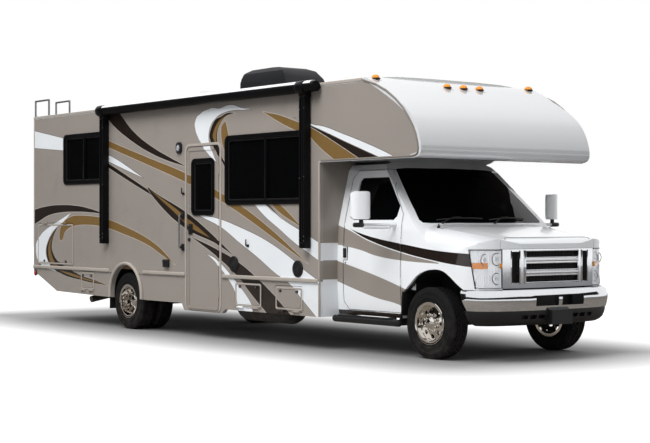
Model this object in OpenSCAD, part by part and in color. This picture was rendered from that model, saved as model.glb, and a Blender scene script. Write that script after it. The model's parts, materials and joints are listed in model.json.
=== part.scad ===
// Class C motorhome on a cutaway van cab. +X forward, +Y left, +Z up, millimetres.
// Stations along the vehicle are measured from the front axle and moved to the middle at the end.

/* [Wheels and axles] */
// Distance between the axles
wheelbase = 5664; // [5400:1:5800]
// Outside diameter of every tyre
tyre_d = 744; // [730:1:760]
// Width of every tyre
tyre_w = 223; // [210:1:230]
// Bead seat radius of every rim
rim_r = 203; // [198:1:210]
// Distance between the front tyres' middles
front_track = 1762; // [1740:1:1790]
// Half distance between the outer rear tyres' middles
dual_half = 1118; // [1110:1:1126]
// Spacing of the twin rear tyres
dual_gap = 265; // [258:1:275]
// Kingpin distance inboard of the front tyre's middle
kingpin_in = 60; // [56:1:64]
// Kingpin radius
kingpin_r = 20; // [16:1:24]
// Wheel spindle radius
spindle_r = 35; // [30:1:40]
// Radial clearance of pins in their bores
pin_gap = 0.05; // [0.02:0.01:0.1]

/* [Chassis] */
// Half width over the frame rails
frame_half = 432; // [420:1:440]
// Width of a frame rail
rail_w = 65; // [60:1:75]
// Underside of the frame rails
rail_z = 520; // [510:1:530]
// Height of the frame rails
rail_h = 170; // [150:1:180]

/* [House] */
// Width over the side walls
house_w = 2515; // [2480:1:2540]
// Station of the house's front wall, behind the front axle
house_front = 1500; // [1480:1:1520]
// Length of the house behind the rear axle
overhang = 2636; // [2600:1:2700]
// Wall thickness
wall_t = 50; // [40:1:60]
// Top of the house floor
floor_z = 850; // [840:1:870]
// Thickness of the house floor
floor_t = 60; // [50:1:70]
// Height of the roof's side edge
roof_edge_z = 2945; // [2900:1:2990]
// Thickness of the roof at its side edge
roof_t = 40; // [30:1:60]
// Rise of the roof's flat middle above its side edge
roof_crown = 45; // [30:1:60]
// Half width of the roof's flat middle
roof_flat = 400; // [380:1:450]
// Top of the belt moulding
belt_z = 790; // [780:1:800]
// Height of the belt moulding
belt_h = 50; // [40:1:60]
// How far the belt moulding stands out
belt_t = 12; // [8:1:14]
// Clear gap round doors and hatches
shut_gap = 6; // [5.5:0.5:8]

/* [Overcab] */
// Underside of the overcab
overcab_z = 2067; // [2050:1:2090]
// Foremost station of the overcab nose, ahead of the front axle
nose_x = 175; // [140:1:220]
// Thickness of the moulded cap
cap_t = 45; // [35:1:55]
// Station where the cap meets the roof, behind the front axle
cap_rear = 763; // [740:1:800]

/* [Cab] */
// Half width of the cab
cab_half = 1005; // [995:1:1015]
// Front of the cab's body, ahead of the front axle
cab_nose = 790; // [770:1:800]
// Bottom of the cab's sides
sill_z = 400; // [390:1:420]
// Top of the cab floor
cab_floor_z = 740; // [735:1:760]
// Height of the windshield's base
cowl_z = 1390; // [1380:1:1400]
// Station of the windshield's base in the middle, behind the front axle
cowl_x = 60; // [40:1:80]
// Slope of the windshield
screen_a = 41.5; // [41:0.5:43]
// Thickness of the cab's shell
shell_t = 40; // [34:1:46]
// Thickness of a cab door
door_t = 70; // [64:1:76]
// Thickness of the window glass
glass_t = 6; // [5:1:8]
// Front shut line of the cab doors, behind the front axle
door_front = 430; // [424:1:436]
// Rear shut line of the cab doors, behind the front axle
door_rear = 1400; // [1390:1:1410]
// Reach of the front wheel arches behind the axle
arch_r = 432; // [428:1:440]
// Height of the front wheel arches above the axle
arch_h = 558; // [540:1:570]

/* [Front end] */
// Distance from the cab's side to the grille
lamp_w = 345; // [335:1:355]
// Bottom of the grille and headlamps
grille_z0 = 742; // [740:1:750]
// Top of the grille and headlamps
grille_z1 = 1140; // [1130:1:1150]
// Front of the bumper, ahead of the front axle
bumper_x = 915; // [900:1:930]
// Bottom of the bumper
bumper_z0 = 522; // [515:1:530]
// Top of the bumper
bumper_z1 = 732; // [725:1:735]

/* [Fittings] */
// Height of the air conditioner above the roof
ac_h = 385; // [340:1:400]
// Length of the air conditioner
ac_l = 1020; // [950:1:1100]
// Radius of the awning's roller case
roller_r = 60; // [50:1:65]
// Top of the ladder's rails
ladder_z = 3180; // [3120:1:3220]
// Radius of the ladder's tubes
ladder_r = 14; // [12:1:16]
// Depth of the rear bumper
rear_bumper_d = 160; // [140:1:180]
// Radius of the hinge pins
hinge_r = 6; // [5:0.5:7]

/* [Hidden] */
$fn = 48;
house_half = house_w / 2;
grille_half = cab_half - lamp_w;
house_rear = wheelbase + overhang;
wall_top = roof_edge_z - roof_t;
crown_z = roof_edge_z + roof_crown;
floor_under = floor_z - floor_t;
rail_top = rail_z + rail_h;
axle_z = tyre_d / 2;
tyre_y = front_track / 2;
kingpin_y = tyre_y - kingpin_in;
plate_reach = 20;
front_axle_x = (house_rear + rear_bumper_d - bumper_x - plate_reach) / 2;
big = 4000;
hinge_out = hinge_r + 6;

// Points on an arc from angle a0 to a1
function arc(c, r, a0, a1, n) =
    [for (i = [0:n]) c + r * [cos(a0 + (a1 - a0) * i / n), sin(a0 + (a1 - a0) * i / n)]];

// Rectangle with round corners
function round_rect(x0, z0, x1, z1, r) = concat(
    arc([x1 - r, z0 + r], r, -90, 0, 4), arc([x1 - r, z1 - r], r, 0, 90, 4),
    arc([x0 + r, z1 - r], r, 90, 180, 4), arc([x0 + r, z0 + r], r, 180, 270, 4));

// Anticlockwise outline moved inwards by d, with mitred corners
function inset(p, d) = [for (i = [0:len(p) - 1])
    let (a = p[(i + len(p) - 1) % len(p)], b = p[i], c = p[(i + 1) % len(p)],
        u = (b - a) / norm(b - a), v = (c - b) / norm(c - b), n = [-u[1], u[0]], m = [-v[1], v[0]])
    b + d * (n + m) / (1 + n * m)];

// Point at share t of the step after point i of a line, on a smooth curve through its points
function between(p, i, t) = let (a = p[max(i - 1, 0)], b = p[i], c = p[i + 1], d = p[min(i + 2,
    len(p) - 1)])
    b + t * (c - a) / 2 + t * t * (a - 2.5 * b + 2 * c - d / 2)
    + t * t * t * (1.5 * b - a / 2 - 1.5 * c + d / 2);

// Line through the points of p, with n steps between each two
function smooth(p, n) = concat([for (i = [0:len(p) - 2], k = [0:n - 1]) between(p, i, k / n)],
    [p[len(p) - 1]]);

// Half outline from the bottom up, closed by its mirror image
function both_sides(h) = concat(h, [for (i = [len(h) - 1:-1:0]) [-h[i][0], h[i][1]]]);

// Outline in X and Z drawn out along Y
module across(y0, y1) translate([0, y1, 0]) rotate([90, 0, 0]) linear_extrude(y1 - y0) children();

// Outline in Y and Z drawn out along X
module along(x0, x1) translate([x0, 0, 0]) rotate([90, 0, 90]) linear_extrude(x1 - x0) children();

// Outline in X and Y drawn out upwards
module upright(z0, z1) translate([0, 0, z0]) linear_extrude(z1 - z0) children();

// Box between two corners
module block(a, b) translate(a) cube(b - a);

// Round bar along Y
module bar_y(x, z, r, y0, y1) translate([x, y1, z]) rotate([90, 0, 0]) cylinder(r = r, h = y1 - y0);

// Round bar between two points
module rod(a, b, r) {
    d = b - a;
    l = norm(d);
    translate(a) rotate([0, acos(d[2] / l), atan2(d[1], d[0])]) cylinder(r = r, h = l);
}

// Stations become the vehicle's own frame
module place() translate([front_axle_x, 0, 0]) children();

// The right side is the left side's mirror image
module on_side(s) mirror([0, s < 0 ? 1 : 0, 0]) children();

// Wheels and axles
tyre_r = tyre_d / 2;
tread_half = tyre_w * 0.36;
bead_half = tyre_w * 0.38;
side_r = (rim_r + tyre_r) / 2;
lip_r = rim_r + 18;
barrel_r = rim_r - 14;
disc_t = 14;
hub_r = 78;
dome_r = 62;
hand_holes = 8;
hand_hole_r = 24;
hand_hole_ring = 138;
front_disc = tyre_w * 0.27;
spindle_end = front_disc + 10;

module tyre_profile() polygon([
    [rim_r, -bead_half], [rim_r + 34, -tyre_w * 0.47], [side_r, -tyre_w / 2],
    [tyre_r - 26, -tyre_w * 0.47], [tyre_r - 7, -tyre_w * 0.42], [tyre_r, -tread_half],
    [tyre_r, tread_half], [tyre_r - 7, tyre_w * 0.42], [tyre_r - 26, tyre_w * 0.47],
    [side_r, tyre_w / 2], [rim_r + 34, tyre_w * 0.47], [rim_r, bead_half]]);

// Turned about the axle, outer face towards +Y, middle of the tyre at the origin
module turned() rotate([-90, 0, 0]) rotate_extrude($fn = 96) children();

module tyre() turned() tyre_profile();

// Rim barrel with its two lips
module rim_barrel_profile() {
    lip_in = bead_half + 13;
    lip_out = bead_half + 22;
    polygon([[barrel_r, -lip_out], [lip_r, -lip_out], [lip_r, -lip_in], [rim_r, -lip_in],
        [rim_r, lip_in], [lip_r, lip_in], [lip_r, lip_out], [barrel_r, lip_out]]);
}

// Ring of hand holes through a wheel's disc
module hand_hole_cuts(w0, w1)
    for (i = [0:hand_holes - 1]) rotate([0, i * 360 / hand_holes, 0])
        bar_y(hand_hole_ring, 0, hand_hole_r, w0, w1);

module front_wheel_solid() {
    hub_in = kingpin_clear + knuckle_plate + 6 - kingpin_in;
    difference() {
        turned() {
            rim_barrel_profile();
            polygon([[0, front_disc], [barrel_r + 2, front_disc - 26], [barrel_r + 2,
                front_disc - 26 + disc_t],
                [hub_r, front_disc + disc_t], [dome_r, front_disc + disc_t + 4],
                [dome_r - 6, front_disc + 38], [dome_r - 24, front_disc + 46], [0, front_disc + 46]]);
            translate([0, hub_in]) square([hub_r, front_disc - hub_in + 2]);
        }
        bar_y(0, 0, spindle_r + pin_gap, hub_in - 1, spindle_end + 4);
        hand_hole_cuts(front_disc - 40, front_disc + 40);
    }
}

rear_disc = -dual_gap / 2;
rear_hub_out = rear_disc + 150;
rear_bore_end = rear_disc + 60;
module rear_wheels_solid() difference() {
    turned() {
        rim_barrel_profile();
        translate([0, -dual_gap]) rim_barrel_profile();
        polygon([[0, rear_disc], [hub_r + 40, rear_disc], [barrel_r + 2, rear_disc + 40],
            [barrel_r + 2, rear_disc + 40 + disc_t], [hub_r + 40, rear_disc + disc_t], [hub_r,
                rear_disc + disc_t + 2],
            [hub_r - 4, rear_hub_out - 30], [hub_r - 22, rear_hub_out], [0, rear_hub_out]]);
        polygon([[0, rear_disc - 60], [hub_r + 20, rear_disc - 60], [hub_r + 40, rear_disc - disc_t],
            [barrel_r + 2, rear_disc - 40 - disc_t], [barrel_r + 2, rear_disc - 40], [hub_r + 40,
                rear_disc],
            [0, rear_disc]]);
    }
    bar_y(0, 0, rear_spindle_r + pin_gap, rear_disc - 61, rear_bore_end);
    hand_hole_cuts(rear_disc - 90, rear_disc + 90);
}

module at_front(s) place() on_side(s) translate([0, tyre_y, axle_z]) children();
module at_rear(s) place() on_side(s) translate([-wheelbase, dual_half, axle_z]) children();

module tyre_front_left() color([0.07, 0.07, 0.075]) at_front(1) tyre();
module tyre_front_right() color([0.07, 0.07, 0.075]) at_front(-1) tyre();
module twin_tyres() {
    tyre();
    translate([0, -dual_gap, 0]) tyre();
}
module tyres_rear_left() color([0.07, 0.07, 0.075]) at_rear(1) twin_tyres();
module tyres_rear_right() color([0.07, 0.07, 0.075]) at_rear(-1) twin_tyres();
module wheel_front_left() color([0.8, 0.8, 0.82]) at_front(1) front_wheel_solid();
module wheel_front_right() color([0.8, 0.8, 0.82]) at_front(-1) front_wheel_solid();
module wheels_rear_left() color([0.8, 0.8, 0.82]) at_rear(1) rear_wheels_solid();
module wheels_rear_right() color([0.8, 0.8, 0.82]) at_rear(-1) rear_wheels_solid();

// Axle eye, knuckle ears above and below it, and the kingpin through both
eye_r = 40;
eye_h = 100;
ear_t = 30;
ear_gap = 5;
kingpin_clear = eye_r + ear_gap;
knuckle_plate = 24;
arm_l = 230;
arm_in = tyre_w / 2 + 8 - kingpin_in;

module knuckle() {
    zt = eye_h / 2 + ear_gap;
    plate_y = kingpin_clear;
    for (k = [-1, 1]) translate([0, 0, k > 0 ? zt : -zt - ear_t]) {
        cylinder(r = eye_r, h = ear_t);
        translate([-eye_r, 0, 0]) cube([2 * eye_r, plate_y + knuckle_plate, ear_t]);
    }
    translate([-eye_r, plate_y, -zt - ear_t]) cube([2 * eye_r, knuckle_plate, 2 * (zt + ear_t)]);
    translate([0, 0, -zt - ear_t]) cylinder(r = kingpin_r, h = 2 * (zt + ear_t));
    bar_y(0, 0, spindle_r, plate_y + knuckle_plate - 1, kingpin_in + spindle_end);
    block([-arm_l, -arm_in - ear_t, -zt - ear_t], [eye_r / 2, -arm_in, -zt]);
    block([-eye_r / 2, -arm_in - 1, -zt - ear_t], [eye_r / 2, 0, -zt]);
}
module at_kingpin(s) place() on_side(s) translate([0, kingpin_y, axle_z]) children();
module knuckle_left() color([0.16, 0.16, 0.17]) at_kingpin(1) knuckle();
module knuckle_right() color([0.16, 0.16, 0.17]) at_kingpin(-1) knuckle();

beam_h = 76;
beam_w = 90;
coil_r = 55;
coil_y = frame_half - rail_w / 2;
module front_axle() color([0.16, 0.16, 0.17]) place() translate([0, 0, axle_z]) difference() {
    union() {
        block([-beam_w / 2, -kingpin_y, -beam_h / 2], [beam_w / 2, kingpin_y, beam_h / 2]);
        for (s = [-1, 1]) {
            translate([0, s * kingpin_y, -eye_h / 2]) cylinder(r = eye_r, h = eye_h);
            translate([0, s * coil_y, 0]) cylinder(r = coil_r, h = rail_z - axle_z);
        }
    }
    for (s = [-1, 1]) translate([0, s * kingpin_y, -eye_h])
        cylinder(r = kingpin_r + pin_gap, h = 2 * eye_h);
}

rear_spindle_r = 42;
tube_r = 62;
diff_r = 170;
tube_half = dual_half - dual_gap - tyre_w / 2 + 30;
spring_half = 700;
spring_w = 70;
spring_h = 40;
module rear_axle() color([0.13, 0.13, 0.14]) place() translate([-wheelbase, 0, axle_z]) {
    bar_y(0, 0, tube_r, -tube_half, tube_half);
    bar_y(0, 0, rear_spindle_r, -dual_half - rear_bore_end + 6, dual_half + rear_bore_end - 6);
    rotate([0, 90, 0]) translate([0, 0, -150]) rotate_extrude() polygon([[0, 0], [110, 0], [diff_r, 80],
        [diff_r, 220], [120, 300], [0, 300]]);
    for (s = [-1, 1]) on_side(s) {
        y0 = frame_half - rail_w / 2 - spring_w / 2;
        block([-70, y0, 0], [70, y0 + spring_w, tube_r + spring_h]);
        block([-spring_half, y0, tube_r], [spring_half, y0 + spring_w, tube_r + spring_h]);
        for (x = [-spring_half, spring_half - 80])
            block([x, y0, tube_r], [x + 80, y0 + spring_w, rail_z - axle_z]);
    }
}

// Frame rails, with cross members that carry the house floor
member_w = 90;
member_stations = concat([for (x = [2336, 1336, 486, -484]) -wheelbase - x], [-4400, -3300, -2400, -1650]);
cab_mounts = [-1250, -560];
frame_front = cab_nose - 60;
module chassis_frame() color([0.1, 0.1, 0.105]) place() {
    for (s = [-1, 1]) on_side(s) difference() {
        block([-house_rear + wall_t, frame_half - rail_w, rail_z], [frame_front, frame_half, rail_top]);
        block([-house_rear, frame_half - rail_w - 1, rail_z + 10],
            [frame_front - 40, frame_half - 10, rail_top - 10]);
    }
    for (x = member_stations)
        block([x, -house_half + wall_t, rail_top], [x + member_w, house_half - wall_t, floor_under]);
    for (x = concat(member_stations, [-700, frame_front - 100]))
        block([x, -frame_half + 5, rail_z + 30], [x + 60, frame_half - 5, rail_top - 30]);
    for (x = cab_mounts)
        block([x, -frame_half, rail_top], [x + 60, frame_half, cab_floor_z - shell_t]);
}

engine_rear = -240;
engine_front = 470;
module engine() color([0.25, 0.25, 0.26]) place() {
    y = frame_half - 10;
    block([engine_rear, -y, rail_z + 40], [engine_front, y, rail_top - 40]);
    block([engine_rear + 20, -260, rail_top - 40], [engine_front - 20, 260, 1120]);
}

// Side walls
// Outline of the overcab nose, as distance behind its tip and share of the height above its underside
nose_table = [[122, 0], [45, 0.02], [8, 0.06], [0, 0.11], [9, 0.18], [31, 0.265], [70, 0.36], [135, 0.465],
    [235, 0.565], [365, 0.665], [520, 0.765], [690, 0.865], [820, 0.93], [938, 0.975], [1080, 1]];
nose_steps = 3;
nose_outline = concat([for (p = smooth(nose_table, nose_steps)) [nose_x - p[0],
    overcab_z + p[1] * (crown_z - overcab_z)]],
    [[-house_front, crown_z], [-house_front, overcab_z]]);
nose_inner = inset(nose_outline, cap_t);
edge_t = 14;

module nose_space() intersection() {
    polygon(nose_inner);
    translate([-house_front, 0]) square([big, wall_top]);
}

// Section across the house: crowned roof
roof_half = [[house_half, roof_edge_z], [(house_half + roof_flat) / 2 + 200,
    roof_edge_z + roof_crown * 0.45],
    [(house_half + roof_flat) / 2 - 60, roof_edge_z + roof_crown * 0.85], [roof_flat, crown_z]];
module house_section(z0) polygon(both_sides(concat([[house_half, z0]], roof_half)));

// Rear wheel arch
rear_arch_r = tyre_r + 18;
rear_arch_top = tyre_d + 106;
flare_w = 40;
flare_t = 22;
module rear_arch(r) translate([-wheelbase, 0]) {
    translate([0, rear_arch_top - rear_arch_r]) circle(r = r);
    translate([-r, 0]) square([2 * r, rear_arch_top - rear_arch_r]);
}

// Windows: station of the rear and front edges behind the front axle, bottom, top
windows = [[wheelbase + 1692, 1963, wheelbase + 586, 2610], [3306, 1645, 1720, 2415]];
window_r = 45;
frame_w = 26;
frame_out = 14;

// Entry door: station of the rear and front edges, bottom, top
door_box = [4180, 330, 3460, 2340];
door_r = 60;
door_window = [4042, 1523, 3594, 2165];
latch_z = 1262;

// Hatches: station of the rear and front edges, bottom and top, and 1 where the hinge is at the top
hatch_rear = [wheelbase + 2516, 800, wheelbase + 1442, 1395, 1];
hatch_front = [3130, 408, 2584, 710, 0];
hatches_right = [hatch_rear, [wheelbase + 1236, 475, wheelbase + 847, 732, 0], hatch_front, [2325, 408,
    1799, 690, 0]];
hatches_left = [hatch_rear, hatch_front];
hatch_r = 30;

function rect_of(b, g, r) = round_rect(-b[0] - g, b[1] - g, -b[2] + g, b[3] + g, r + g);

// Bottom edge of the skirt
skirt_z = 405;
skirt_front_z = 368;
step_z = 318;
departure = 707;
departure_z = 431;
rear_z = 700;
// The side walls reach down over the cap's floor, to its edge
module wall_foot() translate([0, overcab_z]) polygon([[-house_front, edge_t], [nose_inner[0][0] - 80,
    edge_t],
    [nose_inner[0][0] - 20, cap_t + 1], [-house_front, cap_t + 1]]);
module wall_outline() {
    polygon([[-house_rear, rear_z], [-house_rear + departure, departure_z],
        [-wheelbase - rear_arch_r - 60, skirt_z],
        [-door_box[0] - 127, skirt_z], [-door_box[0] - 65, step_z], [-door_box[2] + 52, step_z],
        [-door_box[2] + 116, skirt_front_z], [-house_front, skirt_front_z], [-house_front,
            overcab_z + edge_t],
        [-cap_rear, overcab_z + edge_t], [-cap_rear, wall_top], [-house_rear, wall_top]]);
    intersection() {
        nose_space();
        translate([-cap_rear - 1, 0]) square([big, big]);
    }
    wall_foot();
}

module hatch_cuts(table) for (h = table) polygon(rect_of(h, shut_gap, hatch_r));
module window_cuts() for (w = windows) polygon(rect_of(w, 0, window_r));

// Flat hinge: the pin and its two ears are on the wall, the barrel and leaf on the door.
// The pin lies along X, the wall's face is at y = 0, outside is +Y and the door is towards +Z.
hinge_l = 90;
ear_l = 18;
leaf_w = 34;
leaf_t = 5;
barrel_out = hinge_r + 5;
end_gap = 0.5;
module hinge_fixed() {
    translate([-hinge_l / 2 - ear_l, 0, 0]) for (x = [0, hinge_l + ear_l]) translate([x, 0, 0]) {
        translate([0, hinge_out, 0]) rotate([0, 90, 0]) cylinder(r = barrel_out, h = ear_l);
        block([0, 0, -leaf_w], [ear_l, leaf_t, -shut_gap]);
        block([0, 0, -barrel_out - 4], [ear_l, hinge_out, -shut_gap]);
        block([0, hinge_out - 4, -barrel_out - 4], [ear_l, hinge_out, 0]);
    }
    translate([-hinge_l / 2 - ear_l, hinge_out, 0]) rotate([0, 90, 0]) cylinder(r = hinge_r,
        h = hinge_l + 2 * ear_l);
}
module hinge_moving() {
    l = hinge_l / 2 - end_gap;
    difference() {
        union() {
            translate([-l, hinge_out, 0]) rotate([0, 90, 0]) cylinder(r = barrel_out, h = 2 * l);
            block([-l, 0, 1], [l, leaf_t, leaf_w]);
            block([-l, 0, 1], [l, hinge_out, barrel_out + 4]);
        }
        translate([-hinge_l, hinge_out, 0]) rotate([0, 90, 0]) cylinder(r = hinge_r + pin_gap,
            h = 2 * hinge_l);
    }
}

// Two hinges along a hatch's edge, on the outside of the left wall
module hatch_hinges(h) for (k = [0.22, 0.78])
    translate([-h[0] + k * (h[0] - h[2]), house_half, h[4] > 0 ? h[3] : h[1]])
        mirror([0, 0, h[4] > 0 ? 1 : 0]) children();

// Three hinges down the entry door's front edge
entry_hinge_z = [560, 1250, 2050];
module entry_hinges() for (z = entry_hinge_z)
    translate([-door_box[2], house_half, z]) rotate([0, -90, 0]) children();

module belt(table, with_door) across(house_half, house_half + belt_t) difference() {
    translate([-house_rear, belt_z - belt_h]) square([house_rear - house_front, belt_h]);
    rear_arch(rear_arch_r + flare_w);
    for (h = table) polygon(rect_of(h, shut_gap + 4, hatch_r));
    if (with_door > 0) translate([-door_box[0] - 30, 0]) square([door_box[0] - door_box[2] + 60 + leaf_w,
        big]);
}

module side_wall(table, with_door) {
    across(house_half - wall_t, house_half) difference() {
        wall_outline();
        window_cuts();
        hatch_cuts(table);
        rear_arch(rear_arch_r);
        if (with_door > 0) polygon(rect_of(door_box, shut_gap, door_r));
    }
    across(house_half, house_half + flare_t) intersection() {
        difference() {
            rear_arch(rear_arch_r + flare_w);
            rear_arch(rear_arch_r);
        }
        translate([-house_rear, skirt_z + 2]) square(big);
    }
    belt(table, with_door);
    for (h = table) hatch_hinges(h) hinge_fixed();
    if (with_door > 0) entry_hinges() hinge_fixed();
}

taupe = [0.61, 0.575, 0.545];
white = [0.93, 0.94, 0.95];
module house_wall_right() color(taupe) place() on_side(-1) side_wall(hatches_right, 1);
module house_wall_left() color(taupe) place() side_wall(hatches_left, 0);

module hatch(h, s) color(taupe) place() on_side(s) {
    across(house_half - wall_t + 8, house_half) polygon(rect_of(h, 0, hatch_r));
    across(house_half - 1, house_half + 6) polygon(rect_of([h[0] - 40, h[1] + 40, h[2] + 40, h[3] - 40],
        0, hatch_r));
    hatch_hinges(h) hinge_moving();
}
module hatch_right_rear() hatch(hatches_right[0], -1);
module hatch_right_mid() hatch(hatches_right[1], -1);
module hatch_right_front() hatch(hatches_right[2], -1);
module hatch_right_step() hatch(hatches_right[3], -1);
module hatch_left_rear() hatch(hatches_left[0], 1);
module hatch_left_front() hatch(hatches_left[1], 1);

// Black window frames with one upright bar, and the panes in them
module house_windows() for (w = windows) {
    across(house_half - wall_t, house_half + frame_out) difference() {
        polygon(rect_of(w, 0, window_r));
        polygon(rect_of(w, -frame_w, window_r));
    }
    across(house_half, house_half + frame_out) difference() {
        polygon(rect_of(w, frame_w, window_r));
        polygon(rect_of(w, -1, window_r));
    }
    across(house_half - 30, house_half - 30 + glass_t) polygon(rect_of(w, -frame_w + 1, window_r));
    across(house_half - 31, house_half + 4)
        translate([-(w[0] + w[2]) / 2 - frame_w / 2, w[1] + 1]) square([frame_w, w[3] - w[1] - 2]);
}
module windows_right() color([0.05, 0.05, 0.06]) place() on_side(-1) house_windows();
module windows_left() color([0.05, 0.05, 0.06]) place() house_windows();

module entry_door() color(taupe) place() on_side(-1) {
    across(house_half - wall_t + 4, house_half) difference() {
        polygon(rect_of(door_box, 0, door_r));
        polygon(rect_of(door_window, 0, window_r));
    }
    across(house_half - 1, house_half + 8) difference() {
        polygon(rect_of(door_box, -18, door_r));
        polygon(rect_of(door_box, -50, door_r));
    }
    translate([-door_box[0] + 48, house_half - 1, latch_z]) cube([92, 10, 130]);
    entry_hinges() hinge_moving();
}
module entry_door_window() color([0.05, 0.05, 0.06]) place() on_side(-1) {
    across(house_half - wall_t + 10, house_half + frame_out) difference() {
        polygon(rect_of(door_window, 0, window_r));
        polygon(rect_of(door_window, -frame_w, window_r));
    }
    across(house_half, house_half + frame_out) difference() {
        polygon(rect_of(door_window, frame_w, window_r));
        polygon(rect_of(door_window, -1, window_r));
    }
    across(house_half - 20, house_half - 20 + glass_t) polygon(rect_of(door_window, -frame_w + 1,
        window_r));
}

// Step well behind the entry door
tread = 280;
step_t = 20;
well_y = house_half - wall_t - 2 * tread;
well_end = house_half - wall_t - 2;
module entry_steps() color([0.2, 0.2, 0.21]) place() on_side(-1) {
    low = step_z + 40;
    mid = (low + floor_z) / 2;
    translate([-door_box[0], 0, 0]) along(0, door_box[0] - door_box[2]) polygon([
        [well_end, low], [well_end, low + step_t], [well_y + tread + step_t, low + step_t],
        [well_y + tread + step_t, mid], [well_y + step_t, mid], [well_y + step_t, floor_z], [well_y,
            floor_z],
        [well_y, mid - step_t], [well_y + tread, mid - step_t], [well_y + tread, low]]);
}

module house_floor() color([0.45, 0.38, 0.3]) place() difference() {
    block([-house_rear + wall_t, -house_half + wall_t, floor_under], [-house_front - wall_t,
        house_half - wall_t, floor_z]);
    block([-door_box[0], -house_half, 0], [-door_box[2], -well_y, big]);
}

module house_wall_rear() color(taupe) place() along(-house_rear, -house_rear + wall_t)
    translate([-house_half + wall_t, rear_z]) square([house_w - 2 * wall_t, wall_top - rear_z]);

pass_half = 640;
pass_top = 1960;
module house_wall_front() color(taupe) place() along(-house_front - wall_t, -house_front) difference() {
    translate([-house_half + wall_t, skirt_front_z]) square([house_w - 2 * wall_t,
        overcab_z + cap_t - skirt_front_z]);
    translate([-pass_half, floor_z]) square([2 * pass_half, pass_top - floor_z]);
    translate([-frame_half - 8, 0]) square([2 * frame_half + 16, rail_top + 8]);
}

module house_roof() color(white) place() along(-house_rear, -cap_rear) house_section(wall_top);

module overcab_cap() color(white) place() difference() {
    intersection() {
        across(-house_half, house_half) polygon(nose_outline);
        along(-house_front, nose_x + 1) house_section(overcab_z - 1);
    }
    across(-house_half - 1, house_half + 1) nose_space();
    block([-house_front - 1, -house_half - 1, overcab_z + cap_t], [-cap_rear, house_half + 1, big]);
    across(-house_half - 1, house_half + 1) translate([-house_front - 1, overcab_z + cap_t])
        square([cap_t + 60, 200]);
    for (s = [-1, 1]) on_side(s) across(house_half - wall_t, house_half + 1) wall_foot();
}

// Awning: roller case along the top, and two arms down the wall
awning_rear = wheelbase + 551;
awning_front = 1455;
arm_w = 100;
arm_d = 75;
arm_z = 1130;
roller_z = roof_edge_z - 40;
roller_y = house_half + 84;
arm_stations = [-awning_rear + 10, -awning_front - 190 - arm_w];
module awning() color([0.06, 0.06, 0.065]) place() on_side(-1) {
    for (x = arm_stations) {
        block([x, house_half + frame_out + 2, arm_z], [x + arm_w, house_half + frame_out + 2 + arm_d,
            roller_z]);
        for (z = [arm_z, 2480, roller_z - 80])
            block([x + 20, house_half, z], [x + arm_w - 20, house_half + frame_out + 3, z + 80]);
    }
    translate([-awning_rear, roller_y, roller_z]) rotate([0, 90, 0])
        cylinder(r = roller_r, h = awning_rear - awning_front);
    across(house_half, roller_y) translate([-awning_rear + 20, roller_z - 20])
        square([awning_rear - awning_front - 40, 40]);
}

// Roof equipment
ac_half = 310;
ac_x = -3880;
module roof_air_conditioner() color([0.16, 0.16, 0.17]) place() translate([ac_x, 0,
    crown_z]) intersection() {
    across(-ac_half, ac_half) polygon([[-ac_l / 2 + 30, 0], [ac_l / 2, 0], [ac_l / 2 + 10, ac_h * 0.2],
        [ac_l / 2 - 60, ac_h * 0.62], [ac_l / 2 - 170, ac_h * 0.88], [ac_l / 2 - 300, ac_h * 0.98], [60,
            ac_h],
        [-ac_l / 2 + 130, ac_h * 0.99], [-ac_l / 2 + 30, ac_h * 0.9], [-ac_l / 2, ac_h * 0.7],
            [-ac_l / 2, ac_h * 0.12]]);
    along(-ac_l, ac_l) polygon(both_sides([[ac_half - 20, 0], [ac_half, ac_h * 0.1], [ac_half, ac_h * 0.55],
        [ac_half - 40, ac_h * 0.85], [ac_half - 110, ac_h]]));
}

// Roof vents: station, length, half width, height
vents = [[-5700, 520, 230, 215], [-2300, 380, 190, 70]];
module roof_vents() color(white) place() for (v = vents) translate([v[0], 0, crown_z]) intersection() {
    across(-v[2], v[2]) polygon([[-v[1] / 2, 0], [v[1] / 2, 0], [v[1] / 2, v[3] * 0.35], [v[1] / 2 - 60,
        v[3] * 0.8],
        [v[1] / 2 - 130, v[3]], [-v[1] / 2 + 80, v[3]], [-v[1] / 2 + 20, v[3] * 0.85], [-v[1] / 2,
            v[3] * 0.5]]);
    along(-v[1], v[1]) polygon(both_sides([[v[2], 0], [v[2], v[3] * 0.5], [v[2] - 40, v[3] * 0.9],
        [v[2] - 80, v[3]]]));
}

// Ladder on the right of the rear wall, over the roof edge and down to the roof
ladder_y = [-1193, -860];
ladder_out = 75;
ladder_low = 1020;
ladder_reach = 340;
rungs = 8;
rung_step = 270;
ladder_feet = [60, 880, 1680];
module ladder() color([0.75, 0.75, 0.77]) place() {
    x0 = -house_rear - ladder_out;
    x1 = -house_rear + ladder_reach;
    for (y = ladder_y) {
        roof_z = lookup(-y - ladder_r, roof_half);
        rod([x0, y, ladder_low], [x0, y, ladder_z], ladder_r);
        rod([x0, y, ladder_z], [x1, y, ladder_z], ladder_r);
        rod([x1, y, ladder_z], [x1, y, roof_z], ladder_r);
        for (p = [[x0, ladder_z], [x1, ladder_z]]) translate([p[0], y, p[1]]) sphere(r = ladder_r);
        for (k = ladder_feet)
            rod([x0, y, ladder_low + k], [-house_rear, y, ladder_low + k], ladder_r * 0.8);
    }
    for (i = [0:rungs - 1]) {
        z = ladder_low + 40 + i * rung_step;
        rod([x0, ladder_y[0], z], [x0, ladder_y[1], z], ladder_r);
    }
}

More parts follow.
